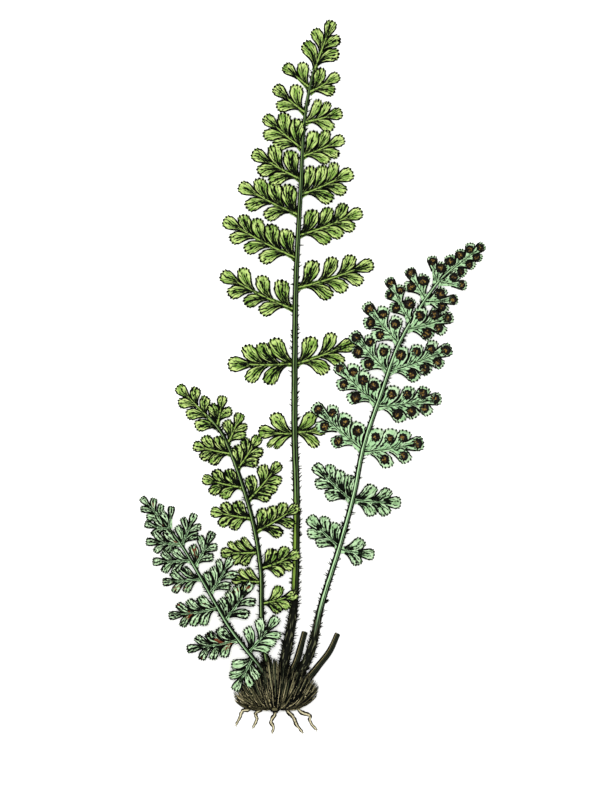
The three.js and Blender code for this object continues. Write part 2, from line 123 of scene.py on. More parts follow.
# The stalks and their hairs.
STALK_GRID = (14, 110)  # sides and rows
STALK_WIDER = 1.08
CHANNEL = 0.1  # how far a stalk's top is flattened
CHANNEL_AT = (0.8, 1.0)  # between these heights over its middle, as shares of its radius
STEM_STEPS = 60  # how finely a stalk's length is measured
BRISTLES = 1.9  # to each millimetre of a stalk
BRISTLES_AT = (0.04, 0.95)
BRISTLES_LOW = 1.6  # powers over one bring them closer to the foot
BRISTLE_TURN = (-0.5, 0.7)
BRISTLE_LEAN = (0.0, 1.4)
BRISTLE_LENGTH = (0.7, 2.1)
BRISTLE_SHORTENS = (1.1, 0.8)  # from the foot to the tip
BRISTLE_SUNK = 0.85  # where it starts, as a share of the stalk's radius
BRISTLE_FOOT = (0.28, 0.42)
BRISTLE_TIP = 0.1
ON_FLOOR = 0.02  # how close anything comes to the floor

# The fronds. A stalk is a list of (x, y, height, radius). A pinna is (foot, reach, lift, upper, lower): the y
# where it leaves the stalk, its length, its slope from the X axis in degrees, and its lobes towards the
# frond's tip and towards its base, besides the one at the end. A sixth number is how much larger its lobes
# are, and how much wider they spread.
# lobe is the usual length of a lobe, and tip_lobe its share of that at the frond's tip. slim is how much
# wider than usual the lobes are, and droop how much wider the lower ones spread. rise is the slope at which a
# pinna leaves the stalk, and fall how much lower its end lies, on the left and on the right. notch is the
# depth of a lobe's notches, foot_width the width of its foot, and wing how much wider the ribs' wings are.
# The stalk is dark up to dark_to and bright up to bright_to, each fading from the first height to the second.
# Sori start at sori_from, and lobes below clear_to have fewer strokes.
TALL = dict(
    node="frond_tall",
    slot="upper_side",
    lobe=10.0,
    rise=0.1,
    fall=(0.06, 0.06),
    notch=0.03,
    foot_width=0.36,
    dark_to=(43, 55),
    bright_to=(74, 84),
    stalk=[
        (1.5, 2.5, 11.5, 2.1), (4.8, 18.6, 9.6, 2.0), (7.4, 34, 6.8, 1.6), (8.4, 56, 4.0, 1.4),
        (8.6, 81, 2.8, 1.35), (7.8, 109, 2.2, 1.3), (7.9, 141, 2.4, 1.2), (8.4, 172, 4.2, 1.1),
        (10.4, 211, 5.6, 0.9), (12.2, 241, 4.4, 0.7), (15.4, 258, 2.8, 0.55), (17.4, 264, 2.0, 0.4),
    ],
    left=[
        (107.6, 15.2, 6, 1, 2, 1.1), (137.2, 27.6, 1, 3, 2, 1.08), (159.7, 34.7, 27, 3, 3),
        (181.4, 35.1, 29, 4, 3), (199.4, 28.4, 28, 3, 2), (214.3, 23.4, 31, 2, 2),
        (227.2, 21.2, 42, 2, 2), (242.3, 16.8, 42, 1, 1), (252.9, 14.2, 43, 1, 0),
    ],
    right=[
        (108.3, 13.4, 7, 1, 1, 1.15), (137.0, 26.4, 21, 2, 2), (168.8, 33.8, 19, 3, 3),
        (190.8, 28.6, 22, 3, 3, 0.93), (207.9, 24.2, 25, 3, 2), (224.0, 19.0, 25, 2, 2),
        (238.4, 16.5, 16, 2, 1), (250.8, 14.8, 32, 1, 1),
    ],
    tip=dict(foot=260, reach=22.6, lift=70, upper=2, lower=2, height=1.0),
    tip_lobe=0.92,
)

FERTILE = dict(
    node="frond_fertile",
    slot="lower_side",
    lobe=8.8,
    rise=0.12,
    fall=(0.08, 0.22),
    notch=0.05,
    foot_width=0.62,
    slim=1.08,
    droop=1.08,
    wing=1.3,
    dark_to=(28, 48),
    stalk=[
        (8.0, 3.5, 12.0, 1.9), (14.5, 16.6, 11.4, 1.8), (19.0, 36, 9.8, 1.3), (26.8, 61, 8.0, 1.15),
        (32.8, 83, 7.0, 1.1), (36.6, 102, 6.6, 1.1), (44.6, 126, 6.6, 1.0), (51.4, 145, 6.4, 0.9),
        (59.6, 159.4, 5.4, 0.8), (69.0, 172.3, 3.8, 0.65), (76, 178.6, 2.6, 0.5),
    ],
    left=[
        (60.2, 18.0, 46, 2, 2), (79.5, 22.2, 45, 3, 2), (100.9, 27.8, 44, 3, 2),
        (119.8, 24.4, 46, 3, 2), (133.7, 22.4, 48, 2, 2), (145.5, 21.9, 51, 2, 2),
        (154.6, 20.6, 64, 2, 2, 0.86), (164.2, 14.8, 62, 1, 1), (170.7, 11.9, 80, 1, 0),
    ],
    right=[
        (59.4, 15.2, -8, 1, 1), (80.0, 20.8, -2, 2, 2), (100.1, 26.4, 10, 3, 2, 1.08),
        (119.0, 28.0, 9, 3, 3), (133.7, 28.4, 22, 3, 3), (151.4, 20.8, 17, 2, 2),
        (163.0, 14.6, 6, 1, 1), (171.4, 12.1, -6, 1, 0),
    ],
    tip=dict(foot=174, reach=21.5, lift=38, upper=3, lower=3, height=1.0),
    sori_from=95,
)

YOUNG = dict(
    node="frond_young",
    slot="upper_side",
    lobe=8.4,
    rise=0.08,
    fall=(0.14, 0.08),
    notch=0.04,
    foot_width=0.38,
    slim=1.08,
    droop=1.2,
    dark_to=(8, 26),
    stalk=[
        (-2.2, 6.5, 9.5, 1.2), (-4.0, 14, 11.4, 1.15), (-5.6, 22, 12.0, 1.1),
        (-6.0, 33, 11.7, 1.05), (-6.3, 50, 10.0, 1.0), (-8.9, 67.5, 7.9, 0.95),
        (-14.4, 87.3, 5.6, 0.9), (-22.2, 107, 3.8, 0.8), (-28.6, 115.6, 2.6, 0.6),
    ],
    left=[
        (45.7, 12.6, 7, 2, 1), (58.2, 15.7, 0, 3, 2), (72.3, 17.9, 11, 2, 2),
        (85.1, 17.9, 14, 2, 2), (99.3, 16.8, 14, 2, 2),
    ],
    right=[
        (36.7, 15.4, 16, 1, 2), (51.3, 17.8, 23, 2, 2), (66.6, 21.3, 32, 3, 2),
        (79.5, 20.9, 51, 2, 3), (92.8, 16.6, 58, 2, 2), (103.4, 14.2, 68, 1, 2),
        (111.0, 12.8, 80, 1, 1),
    ],
    tip=dict(foot=109.4, reach=25.4, lift=134, upper=3, lower=3, height=1.0),
    tip_lobe=0.92,
)

LOW = dict(
    node="frond_low",
    slot="lower_side",
    lobe=8.0,
    rise=0.08,
    fall=(0.12, 0.1),
    notch=0.08,
    foot_width=0.46,
    slim=0.9,
    droop=1.2,
    dark_to=(13, 24),
    clear_to=20,
    stalk=[
        (-2.6, 1.5, 15.4, 0.8), (-6.3, 9.8, 16.6, 0.92), (-12.4, 17.6, 17.4, 0.96),
        (-19.5, 27, 15.8, 0.92), (-24.6, 35.5, 13.4, 0.86), (-30.8, 46.4, 10.4, 0.78),
        (-39.6, 61, 6.2, 0.65), (-46, 69.4, 3.8, 0.5), (-48.6, 72.6, 3.0, 0.4),
    ],
    left=[
        (14.4, 16.4, -60, 2, 2, 1.12), (21.7, 22.1, -9, 3, 3), (34.9, 21.0, -8, 3, 3),
        (47.1, 16.8, -4, 2, 2), (54.8, 16.4, -1, 2, 2), (61.4, 15.0, 6, 2, 2),
        (67.6, 11.2, 14, 1, 1),
    ],
    right=[
        (16.5, 19.2, 52, 2, 3, 1.12), (29.7, 19.6, 57, 3, 2, 1.1), (40.8, 18.2, 60, 3, 2, 1.06),
        (52.0, 16.8, 64, 2, 2), (61.0, 14.4, 69, 2, 2), (68.0, 9.6, 85, 1, 0),
    ],
    tip=dict(foot=70.6, reach=14.4, lift=133, upper=2, lower=2, height=1.0),
)

OLD_STALKS = [
    [(5.0, 5, 8.4, 1.6), (8.4, 12, 8.2, 1.5), (10.5, 19, 7.2, 1.35), (12.0, 24.6, 6.0, 1.2)],
    [(11.6, 3, 8.4, 1.6), (17.2, 9.8, 7.8, 1.5), (22.4, 16.6, 6.0, 1.3), (25.8, 23.8, 4.4, 1.2)],
]

ROOTS = [
    [
        (-8.4, -4.6, 5.0, 0.55), (-11.4, -8.0, 2.4, 0.55), (-14.2, -8.9, 0.9, 0.5),
        (-15.1, -11.3, 0.6, 0.45), (-16.6, -14.4, 0.4, 0.3),
    ],
    [
        (-4.4, -5.2, 4.8, 0.55), (-6.4, -8.2, 2.2, 0.55), (-8.5, -9.8, 0.8, 0.5),
        (-8.1, -12.4, 0.6, 0.45), (-9.6, -15.6, 0.4, 0.3),
    ],
    [
        (0.2, -5.4, 4.6, 0.55), (-0.1, -8.6, 1.8, 0.55), (-0.7, -10.6, 0.7, 0.5),
        (-2.1, -13.2, 0.6, 0.45), (-1.0, -15.6, 0.5, 0.4), (-1.5, -17.6, 0.4, 0.3),
    ],
    [
        (2.6, -5.4, 4.8, 0.55), (4.6, -8.4, 2.0, 0.55), (7.2, -11.2, 0.8, 0.5),
        (8.7, -14.6, 0.6, 0.45), (11.0, -17.6, 0.4, 0.3),
    ],
    [
        (6.4, -4.6, 5.0, 0.55), (9.0, -7.6, 2.4, 0.55), (11.4, -9.7, 1.0, 0.5),
        (14.0, -10.6, 0.8, 0.5), (14.5, -13.6, 0.6, 0.4), (16.8, -16.4, 0.4, 0.3),
    ],
]

# The rhizome: a core in a tuft of strands. The strands start along its lower edge and fan out to its outline,
# over a dome that is flatter on the left, where the low frond lies over it.
CORE = dict(middle=(0, 0, 8.4), radii=(14.8, 7.8, 7.6))
CORE_GRID = (32, 24)  # sides and rows
CORE_UNDER = 0.8  # how far it stays under what may lie over it
CORE_CHANCE = (0.2, 0.5)
STRANDS = 2600
STRAND_GRID = (3, 7)
STRAND_WIDTH = 0.28
STRAND_VARIES = (0.7, 1.5)
PALEST = 0.72  # strands with a chance over this are the palest
PALE_WIDTH = 0.55  # and have this share of the usual width
STRAND_REACH = (0.1, 1.05)  # squares of how far towards the outline a strand ends
STRAND_START = (0.3, 0.62)  # how far out it starts, as a share of where it ends
START_STRAYS = (-0.6, 1.0)
START_LIFT = 0.09  # it starts higher the further out it is
SHORTER = 0.5  # this share of the strands is shorter, by up to the same share
STRAND_SAG = 0.11  # it sags more the further out it ends
SAG_STRAYS = (-0.5, 0.5)
STRAND_RISE = 0.4  # how far its end stands out
STRAND_TAPER = 0.75  # how much thinner its end is
STRAND_FOOT = (0.5, 0.2)  # it starts this thin, and is full after this share of its length
STRAND_STEP = 0.02  # to both sides, for its direction
TUFT_LEVELS = [(0.86, 1.02), (-1.02, -0.86), (-0.86, 0.86)]  # of the strands on top, underneath and inside
TUFT_SHARES = [0.66, 0.16, 0.18]
LEAF_BASES = 26  # thicker strands that stand out at the top
BASE_END = [(-6.2, 0.6), (11.6, 13.9)]  # where they end, across and up
BASE_START = (-2, 2)  # where they start, up
BASE_FAN = 0.4  # and across, as a share of where they end
BASE_CHANCES = (0.1, 0.1, 0.6, 0.9)
BASE_WIDTH = (0.3, 0.45)
KNOB = dict(middle=(-0.5, -7.4, 13.4), radii=(2.2, 1.4, 1.2))
KNOB_COATS = [(1.0, 0.0, 0.1), (0.55, 1.0, 0.65)]  # size, height over the middle and chance
TUFT_FOOT = (-0.3, -7.6)
TUFT_OUTLINE = [
    (-10.9, -7.6), (-14.8, -6.3), (-17.6, -3.6), (-17.6, -0.8), (-14.8, 3.0), (-11.2, 6.4), (-8.2, 9.6),
    (-6.0, 13.2), (-2.6, 13.9), (0.4, 13.2), (4.0, 11.0), (8.0, 9.4), (12.7, 9.0), (15.0, 6.2),
    (17.2, 3.6), (17.9, 1.0), (16.9, -2.2), (14.3, -4.6), (10.1, -7.0),
]
DOME = dict(middle=(0.3, 1.0, 9.4), half_width=18.2, up=13.2, down=9.2, height=9.5)
PRESSED_TO = 14.4  # how high the tuft may reach under the low frond
FREE = 6  # and how much higher beside it
FREE_RIGHT = (-6.5, -2.5)  # to the right, between these
FREE_ABOVE = (10, 12)  # and up the picture, between these
STRAND_HEIGHT = 0.3  # the least height of a strand's middle
STRAND_FLOOR = 0.03

# The old stalks and the roots.
OLD_STALK_GRID = (20, 40)  # sides and rows
GROOVES = 5
GROOVE_DEPTH = 0.05
LUMPS = 0.12
LUMPS_ROUND = 1.5  # how fine the lumps are round it
LUMPS_ALONG = 3  # and along it
ROOT_GRID = (9, 44)
ROOT_WIDER = 1.65
KNOBBLY = 1.1  # how much its width changes
KNOBS = 12  # how often it does, along a root
ROOTS_APART = 3.1  # keeps the noises of two roots apart
FORK_GRID = (6, 8)
FORK_SPREAD = (0.35, 0.6)
FORK_LENGTH = (0.8, 1.3)
FORK_START = 0.4  # how far inside the root it starts
FORK_RADII = (0.22, 0.2, 0.08)
FORK_HEIGHT = 0.15  # the least height of its tip


def lerp(a, b, t):
    return a + (b - a) * t


def clamp(value, low=0.0, high=1.0):
    return max(low, min(high, value))


def smooth(low, high, value):
    t = clamp((value - low) / (high - low))
    return t * t * (3 - 2 * t)


class Stem:
    """The centre line of a stalk or root and its radius, through the points of a table."""

    STEP = 0.002  # to both sides, for the line's direction
    HALVINGS = 30

    def __init__(self, points):
        self.points = [Vector(p[:3]) for p in points]
        self.radii = [p[3] for p in points]
        self.spans = len(points) - 1

    def span(self, t):
        i = min(int(clamp(t) * self.spans), self.spans - 1)
        return i, clamp(t) * self.spans - i

    def at(self, t):
        """The point at a share t of the line, on a smooth curve that doesn't overshoot short spans."""
        i, w = self.span(t)
        p1, p2 = self.points[i], self.points[i + 1]
        p0 = self.points[i - 1] if i else 2 * p1 - p2
        p3 = self.points[i + 2] if i + 2 <= self.spans else 2 * p2 - p1
        d0, d1, d2 = (math.sqrt((b - a).length) for a, b in ((p0, p1), (p1, p2), (p2, p3)))
        m1 = ((p1 - p0) / d0 - (p2 - p0) / (d0 + d1) + (p2 - p1) / d1) * d1
        m2 = ((p2 - p1) / d1 - (p3 - p1) / (d1 + d2) + (p3 - p2) / d2) * d1
        return p1 + m1 * w + (3 * (p2 - p1) - 2 * m1 - m2) * w**2 + (2 * (p1 - p2) + m1 + m2) * w**3

    def radius(self, t):
        i, w = self.span(t)
        return lerp(self.radii[i], self.radii[i + 1], w)

    def axes(self, t):
        """The direction of the line at t, the level direction to its right, and the one square to both."""
        along = (self.at(t + self.STEP) - self.at(t - self.STEP)).normalized()
        right = along.cross(UP).normalized()
        return along, right, right.cross(along)

    def share_at(self, y):
        """The share of the line where it passes the height y of the picture."""
        low, high = 0.0, 1.0
        for _ in range(self.HALVINGS):
            middle = (low + high) / 2
            if self.at(middle).y < y:
                low = middle
            else:
                high = middle
        return low


class Piece:
    """A mesh in the making: sheets are laid into it, each with its own chances for the colour."""

    WELD = 1e-7
    LARGE = 1200  # vertices

    def __init__(self, name):
        self.name = name
        self.done = []
        self.start()

    def start(self):
        self.bm = bmesh.new()
        self.fan = self.bm.loops.layers.uv.new("fan")
        self.chance = self.bm.loops.layers.uv.new("chance")
        self.margin = self.bm.loops.layers.uv.new("margin")

    def settle(self):
        """Puts what is made so far aside, because operators slow down on a large mesh."""
        if len(self.bm.verts) > self.LARGE:
            self.done.append(bpy.data.meshes.new(self.name))
            self.bm.to_mesh(self.done[-1])
            self.bm.free()
            self.start()

    def lay(self, columns, rows, place, chance=(0, 0), material=0, over=False, margin=None):
        """A grid whose points go to place(across, along), both from 0 to 1.

        over turns its faces the other way, and margin gives how far a point is from the sheet's side and from
        its end, in millimetres."""
        made = bmesh.ops.create_grid(self.bm, x_segments=columns, y_segments=rows, size=0.5)["verts"]
        faces = {f for v in made for f in v.link_faces}
        for face in faces:
            face.material_index = material
            face.smooth = True
            for loop in face.loops:
                loop[self.fan].uv = (loop.vert.co.x + 0.5, loop.vert.co.y + 0.5)
                loop[self.chance].uv = chance
                if margin:
                    loop[self.margin].uv = margin(*loop[self.fan].uv)
        for v in made:
            v.co = place(v.co.x + 0.5, v.co.y + 0.5) * MM
        if over:
            bmesh.ops.reverse_faces(self.bm, faces=list(faces))
        return made

    def tube(self, sides, rows, ring, chance=(0, 0)):
        """A closed tube. ring(turn, along) gives its middle and its points there.

        The first and last rows of faces close its ends."""

        def place(across, along):
            row = along * rows
            t = clamp((row - 1) / (rows - 2))
            middle, point = ring(across * 2 * math.pi, t)
            return point if 0.5 < row < rows - 0.5 else middle

        made = self.lay(sides, rows, place, chance)
        bmesh.ops.remove_doubles(self.bm, verts=made, dist=self.WELD)

    def ball(self, subdivisions, radius, place, chance=lambda: (0, 0)):
        """A ball, placed by a matrix. chance gives each corner its chances."""
        made = bmesh.ops.create_icosphere(self.bm, subdivisions=subdivisions, radius=radius, matrix=place)
        for face in {f for v in made["verts"] for f in v.link_faces}:
            face.smooth = True
            for loop in face.loops:
                loop[self.chance].uv = chance()

    def finish(self, materials, slot, *nodes):
        """Makes the object, which takes the place of the nodes."""
        for part in self.done:
            self.bm.from_mesh(part)
            bpy.data.meshes.remove(part)
        mesh = bpy.data.meshes.new(self.name)
        self.bm.to_mesh(mesh)
        self.bm.free()
        piece = bpy.data.objects.new(self.name, mesh)
        bpy.context.scene.collection.objects.link(piece)
        for material in materials:
            mesh.materials.append(material)
        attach(piece, "root")
        if nodes:
            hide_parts(*nodes)
        return piece


# Materials.

MIX_A, MIX_B, MIX_RESULT = 6, 7, 2  # the colour sockets of a Mix node
SEED_SPREAD = 40.0  # keeps the noises of two sheets apart
BUMP = 0.6  # strength of the relief that the shader adds
SPECKLE_EDGE = (0.52, 0.66)
# How deep that relief is, in metres: as a rule, on blades, on stalks, and where it is fine.
RELIEF, BLADE_RELIEF, STALK_RELIEF, FINE_RELIEF = 0.0001, 0.00006, 0.0002, 0.00005


class Paint:
    """A material in the making, with short calls for its nodes."""

    def __init__(self, name, roughness=0.7, gloss=0.03):
        self.material = bpy.data.materials.new(name)
        self.material.use_nodes = True
        self.nodes = self.material.node_tree.nodes
        self.links = self.material.node_tree.links
        self.shader = self.nodes["Principled BSDF"]
        self.shader.inputs["Roughness"].default_value = roughness
        self.shader.inputs["Specular IOR Level"].default_value = gloss

    def put(self, socket, value):
        if isinstance(value, bpy.types.NodeSocket):
            self.links.new(value, socket)
        else:
            socket.default_value = value

    def math(self, operation, *values):
        node = self.nodes.new("ShaderNodeMath")
        node.operation = operation
        for socket, value in zip(node.inputs, values):
            self.put(socket, value)
        return node.outputs[0]

    def plus(self, a, b):
        return self.math("ADD", a, b)

    def minus(self, a, b):
        return self.math("SUBTRACT", a, b)

    def times(self, a, b):
        return self.math("MULTIPLY", a, b)

    def swing(self, noise, reach):
        """A noise as a swing to both sides of zero."""
        return self.times(self.minus(noise, 0.5), reach)

    def zigzag(self, value):
        """Rises from 0 to 1 and falls again between one whole number and the next."""
        return self.times(self.math("PINGPONG", value, 0.5), 2.0)

    def smooth(self, value, low, high, at_low=0.0, at_high=1.0):
        node = self.nodes.new("ShaderNodeMapRange")
        node.interpolation_type = "SMOOTHSTEP"
        given = {"Value": value, "From Min": low, "From Max": high, "To Min": at_low, "To Max": at_high}
        for key, what in given.items():
            self.put(node.inputs[key], what)
        return node.outputs["Result"]

    def uv(self, layer):
        node = self.nodes.new("ShaderNodeUVMap")
        node.uv_map = layer
        return self.split(node.outputs["UV"])

    def round_and_along(self):
        """Where a point is on a tube: the turn from its right over its top to its left, and along.

        Its underside mirrors its top."""
        turn, along, _ = self.uv("fan")
        return self.math("PINGPONG", turn, 0.5), along

    def ragged_turn(self, turn, along, fine, detail, reach):
        """The turn round a tube, moved to and fro by a noise, and that noise."""
        ragged = self.noise(self.join(self.times(turn, fine[0]), self.times(along, fine[1])), 1.0, detail)
        return self.plus(turn, self.swing(ragged, reach)), ragged

    def split(self, vector):
        node = self.nodes.new("ShaderNodeSeparateXYZ")
        self.put(node.inputs[0], vector)
        return node.outputs[0], node.outputs[1], node.outputs[2]

    def join(self, x, y=0.0, z=0.0):
        node = self.nodes.new("ShaderNodeCombineXYZ")
        for socket, value in zip(node.inputs, (x, y, z)):
            self.put(socket, value)
        return node.outputs[0]

    def place(self):
        """Where a point is on the piece, in metres."""
        return self.nodes.new("ShaderNodeTexCoord").outputs["Object"]

    def noise(self, vector, scale, detail=2.0):
        node = self.nodes.new("ShaderNodeTexNoise")
        self.put(node.inputs["Vector"], vector)
        self.put(node.inputs["Scale"], scale)
        self.put(node.inputs["Detail"], detail)
        return node.outputs["Fac"]

    def speckles(self, scale, detail, most):
        """Fine speckles, as a noise and as how much they cover."""
        speckle = self.noise(self.place(), scale, detail)
        return speckle, self.smooth(speckle, *SPECKLE_EDGE, 0.0, most)

    def mix(self, factor, a, b):
        node = self.nodes.new("ShaderNodeMix")
        node.data_type = "RGBA"
        self.put(node.inputs[0], factor)
        self.put(node.inputs[MIX_A], a)
        self.put(node.inputs[MIX_B], b)
        return node.outputs[MIX_RESULT]

    def ramp(self, value, stops):
        node = self.nodes.new("ShaderNodeValToRGB")
        self.put(node.inputs[0], value)
        ramp = node.color_ramp
        while len(ramp.elements) < len(stops):
            ramp.elements.new(0.5)
        for element, (position, colour) in zip(ramp.elements, stops):
            element.position = position
            element.color = colour
        return node.outputs[0]

    def finish(self, colour, relief=None, depth=RELIEF):
        self.put(self.shader.inputs["Base Color"], colour)
        if relief is not None:
            bump = self.nodes.new("ShaderNodeBump")
            bump.inputs["Distance"].default_value = depth
            bump.inputs["Strength"].default_value = BUMP
            self.put(bump.inputs["Height"], relief)
            self.put(self.shader.inputs["Normal"], bump.outputs[0])
        return self.material


def paint_colour(red, green, blue):
    """A colour given as it is seen, from 0 to 255, as light by the sRGB curve."""

    def light(value):
        value /= 255
        return value / 12.92 if value <= 0.04045 else ((value + 0.055) / 1.055) ** 2.4

    return (light(red), light(green), light(blue), 1.0)


INK = paint_colour(4, 5, 3)
RUST = paint_colour(96, 46, 26)


def stripes(*stops):
    """A ramp's stops, from ink to ink. Each is (share, red, green, blue), or (share,) where it is ink."""
    inner = [(share, paint_colour(*seen) if seen else INK) for share, *seen in stops]
    return [(0.0, INK), *inner, (1.0, INK)]


# The paint of a blade. Its noises run from 0 to 1, and so does each stroke.
PATCHES = (3.0, 3.0)  # scale and detail of the patches
PATCH_EDGE = (0.42, 0.66)
MID_INSIDE = 0.9  # how much of the mid colour its inside takes
WAVES = (4.0, 2.5, 1.0)  # how fine the bends of the strokes are: across, along, and from lobe to lobe
WAVES_BEND = 2.4
GRAIN = (2.0, 8.0, 30.0)  # how fine their fraying is. Across, it goes with the number of strokes
GRAIN_REACH = 2.2
FOOT_TO_MIDDLE = (0.05, 0.5)  # where its foot passes into its middle
CLEARER_SIDE = 0.5  # how much less is inked at its sides
LOBES_DIFFER = (-0.12, 0.12)
STROKE_EDGE = (-0.1, 0.1)
SHADE_EDGE = (-0.4, -0.05)  # of the soft shade beside a stroke
SHADE = 0.36
RUST_SCALE = 170.0
RUST_EDGE = (0.61, 0.65)
FLANK = (0.26, 0.36)  # how far from its middle its ink line closes up
DOTS_FRAY = 0.6
DOT_EDGE = 0.1
# Distances from a lobe's side and from its end: where its pale edge fades into its middle, where its strokes
# die out, and where its ink line ends.
PALE_SIDE, PALE_END = (0.6, 1.5), (0.6, 3.0)
CLEAR_SIDE, CLEAR_END = (1.3, 0.6), (4.0, 0.6)
INK_SIDE = (INK_LINE + 0.08, INK_LINE - 0.12)
INK_END = (INK_LINE + 0.1, INK_LINE - 0.1)


def leaf(name, seen, pale, deep, foot, middle, strokes=7.0, end=0.6, gaps=0.3, rust=0.0):
    """A leafy blade: an ink line round it, pale edges, and deep strokes that fan out from its foot. The
    strokes run along its veins and are partly their own darker green and partly painted shade, like an
    engraving's hatching.

    foot and middle are how little of the blade is inked there, and end is how much less is at its end.
    strokes is how many strokes lie side by side, gaps how much of the ink line is missing between the teeth,
    and rust how much of the ink is rust-brown."""
    paint = Paint(name)
    across, along, _ = paint.uv("fan")
    chance, other, _ = paint.uv("chance")
    from_side, from_end, _ = paint.uv("margin")
    seed = paint.times(chance, SEED_SPREAD)
    mid = paint_colour(*seen)

    patches = paint.noise(paint.join(paint.plus(across, seed), along, other), *PATCHES)
    colour = paint.mix(paint.smooth(patches, *PATCH_EDGE), pale, mid)
    inner = paint.math("MINIMUM", paint.smooth(from_side, *PALE_SIDE), paint.smooth(from_end, *PALE_END))
    colour = paint.mix(paint.times(inner, MID_INSIDE), colour, mid)

    def noise_over(across_by, along_by, other_by):
        x = paint.plus(paint.times(across, across_by), seed)
        return paint.noise(paint.join(x, paint.times(along, along_by), paint.times(other, other_by)), 1.0)

    # The strokes: dark lines along the veins, partly their own darker green and partly painted shade, with a
    # soft painted shade beside them.
    wavy = noise_over(*WAVES)
    line = paint.zigzag(paint.plus(paint.times(across, strokes), paint.times(wavy, WAVES_BEND)))
    grain = noise_over(GRAIN[0] * strokes, *GRAIN[1:])
    stroke = paint.plus(line, paint.swing(grain, GRAIN_REACH))
    needed = paint.smooth(along, *FOOT_TO_MIDDLE, foot, middle)
    needed = paint.plus(needed, paint.smooth(from_end, *CLEAR_END, 0.0, end))
    needed = paint.plus(needed, paint.smooth(from_side, *CLEAR_SIDE, 0.0, CLEARER_SIDE))
    needed = paint.plus(needed, paint.smooth(other, 0.0, 1.0, *LOBES_DIFFER))
    over = paint.minus(stroke, needed)
    inked = paint.smooth(over, *STROKE_EDGE)
    shaded = paint.smooth(over, *SHADE_EDGE, 0.0, SHADE)
    colour = paint.mix(shaded, colour, deep)
    rusty = paint.smooth(paint.noise(paint.place(), RUST_SCALE), *RUST_EDGE, 0.0, rust)
    colour = paint.mix(inked, colour, paint.mix(rusty, deep, RUST))

    teeth = paint.zigzag(paint.times(across, 0.5 * LOBE_COLUMNS))
    flank = paint.smooth(paint.math("ABSOLUTE", paint.minus(across, 0.5)), *FLANK)
    dots = paint.plus(paint.plus(teeth, flank), paint.swing(grain, DOTS_FRAY))
    dotted = paint.smooth(dots, gaps - DOT_EDGE, gaps + DOT_EDGE)
    at_end = paint.times(dotted, paint.smooth(from_end, *INK_END))
    ringed = paint.math("MAXIMUM", at_end, paint.smooth(from_side, *INK_SIDE))
    colour = paint.mix(ringed, colour, INK)
    return paint.finish(colour, paint.minus(line, inked), BLADE_RELIEF)


# The paint of a rib: the fineness of a noise across and along, and its scale.
RIB_STREAKS = (5.0, 9.0, 2.0)
RIB_FRAY = 0.3
RIB_STROKES = (1.2, 14.0, 1.0)
RIB_STROKE_EDGE = (0.53, 0.62)
RIB_STROKE = 0.8  # how dark the strokes are


def rib(name, stops, dark):
    """A pinna's rib and its wing: lines along it, with dark strokes across it here and there."""
    paint = Paint(name)
    across, along, _ = paint.uv("fan")
    chance, _, _ = paint.uv("chance")
    seed = paint.times(chance, SEED_SPREAD)

    def noise_over(across_by, along_by, scale):
        spot = paint.join(paint.times(across, across_by), paint.times(along, along_by), seed)
        return paint.noise(spot, scale)

    lined = paint.plus(across, paint.swing(noise_over(*RIB_STREAKS), RIB_FRAY))
    crossed = paint.smooth(noise_over(*RIB_STROKES), *RIB_STROKE_EDGE, 0.0, RIB_STROKE)
    return paint.finish(paint.mix(crossed, paint.ramp(lined, stops), dark))


# The paint of stalks, old stalks, tuft, roots and bristles. What is ragged gives its fineness round and
# along, its detail and its reach, and speckles give their scale, their detail and how much they cover.
STALK_RAGGED = ((9.0, 40.0), 3.0, 0.07)
SCALES = (26.0, 44.0)  # how fine the scales of a stalk's foot are, round it and along it
SCALES_EDGE = (0.59, 0.65)
ROOT_RAGGED = ((3.0, 26.0), 2.0, 0.16)
ROOT_SPECKLES = (1400.0, 3.0, 0.7)
TUFT_SPECKLES = (1800.0, 2.0, 0.6)
TAN_RAGGED = 5  # how far the edge of the tuft's tan part goes up and down, at most
TAN_BELOW = (6, -1)  # and between which heights of the picture it fades in
HAIR_SHADE = (900.0, 3.0)
HAIR_SHADE_EDGE = (0.3, 0.75)


def stalk(name, stops, dark_to, bright_to=None):
    """A stalk: stripes along it by the turn round it, brighter up to bright_to, and a dark scaly foot. The
    stripes paint light and shade on it: ink-dark sides of painted shade, and on the green stalks a pale
    stripe of painted light on the left and darker green of painted shade on the right.
    """
    paint = Paint(name, roughness=0.6)
    turn, along = paint.round_and_along()
    shifted, ragged = paint.ragged_turn(turn, along, *STALK_RAGGED)
    colour = paint.ramp(shifted, stops)
    _, height, _ = paint.split(paint.place())
    if bright_to:
        low, high = (value * MM for value in bright_to)
        colour = paint.mix(paint.smooth(height, low, high), paint.ramp(shifted, BRIGHT_STALK), colour)
    low, high = (value * MM for value in dark_to)
    foot = paint.smooth(paint.plus(height, paint.times(ragged, DARK_RAGGED * MM)), low, high, 1.0, 0.0)
    grain = paint.noise(paint.join(paint.times(turn, SCALES[0]), paint.times(along, SCALES[1])), 1.0)
    brown = paint.mix(paint.smooth(grain, *SCALES_EDGE), SCALY_BROWN, SCALY_PALE)
    return paint.finish(paint.mix(foot, colour, brown), ragged, STALK_RELIEF)


def strands(name, dark, upper, lower):
    """The tuft: mostly near-black strands, and lighter ones among them, tan low down and grey-green above."""
    paint = Paint(name)
    chance, other, _ = paint.uv("chance")
    _, height, _ = paint.split(paint.place())
    from_height, to_height = (value * MM for value in TAN_BELOW)
    low = paint.smooth(paint.plus(height, paint.times(other, TAN_RAGGED * MM)), from_height, to_height)

    def shades(middle, light):
        return paint.ramp(chance, [(0.0, dark), (0.5, dark), (0.54, middle), (0.7, middle), (0.74, light)])

    colour = paint.mix(low, shades(*upper), shades(*lower))
    speckle, speckled = paint.speckles(*TUFT_SPECKLES)
    return paint.finish(paint.mix(speckled, colour, dark), speckle, FINE_RELIEF)


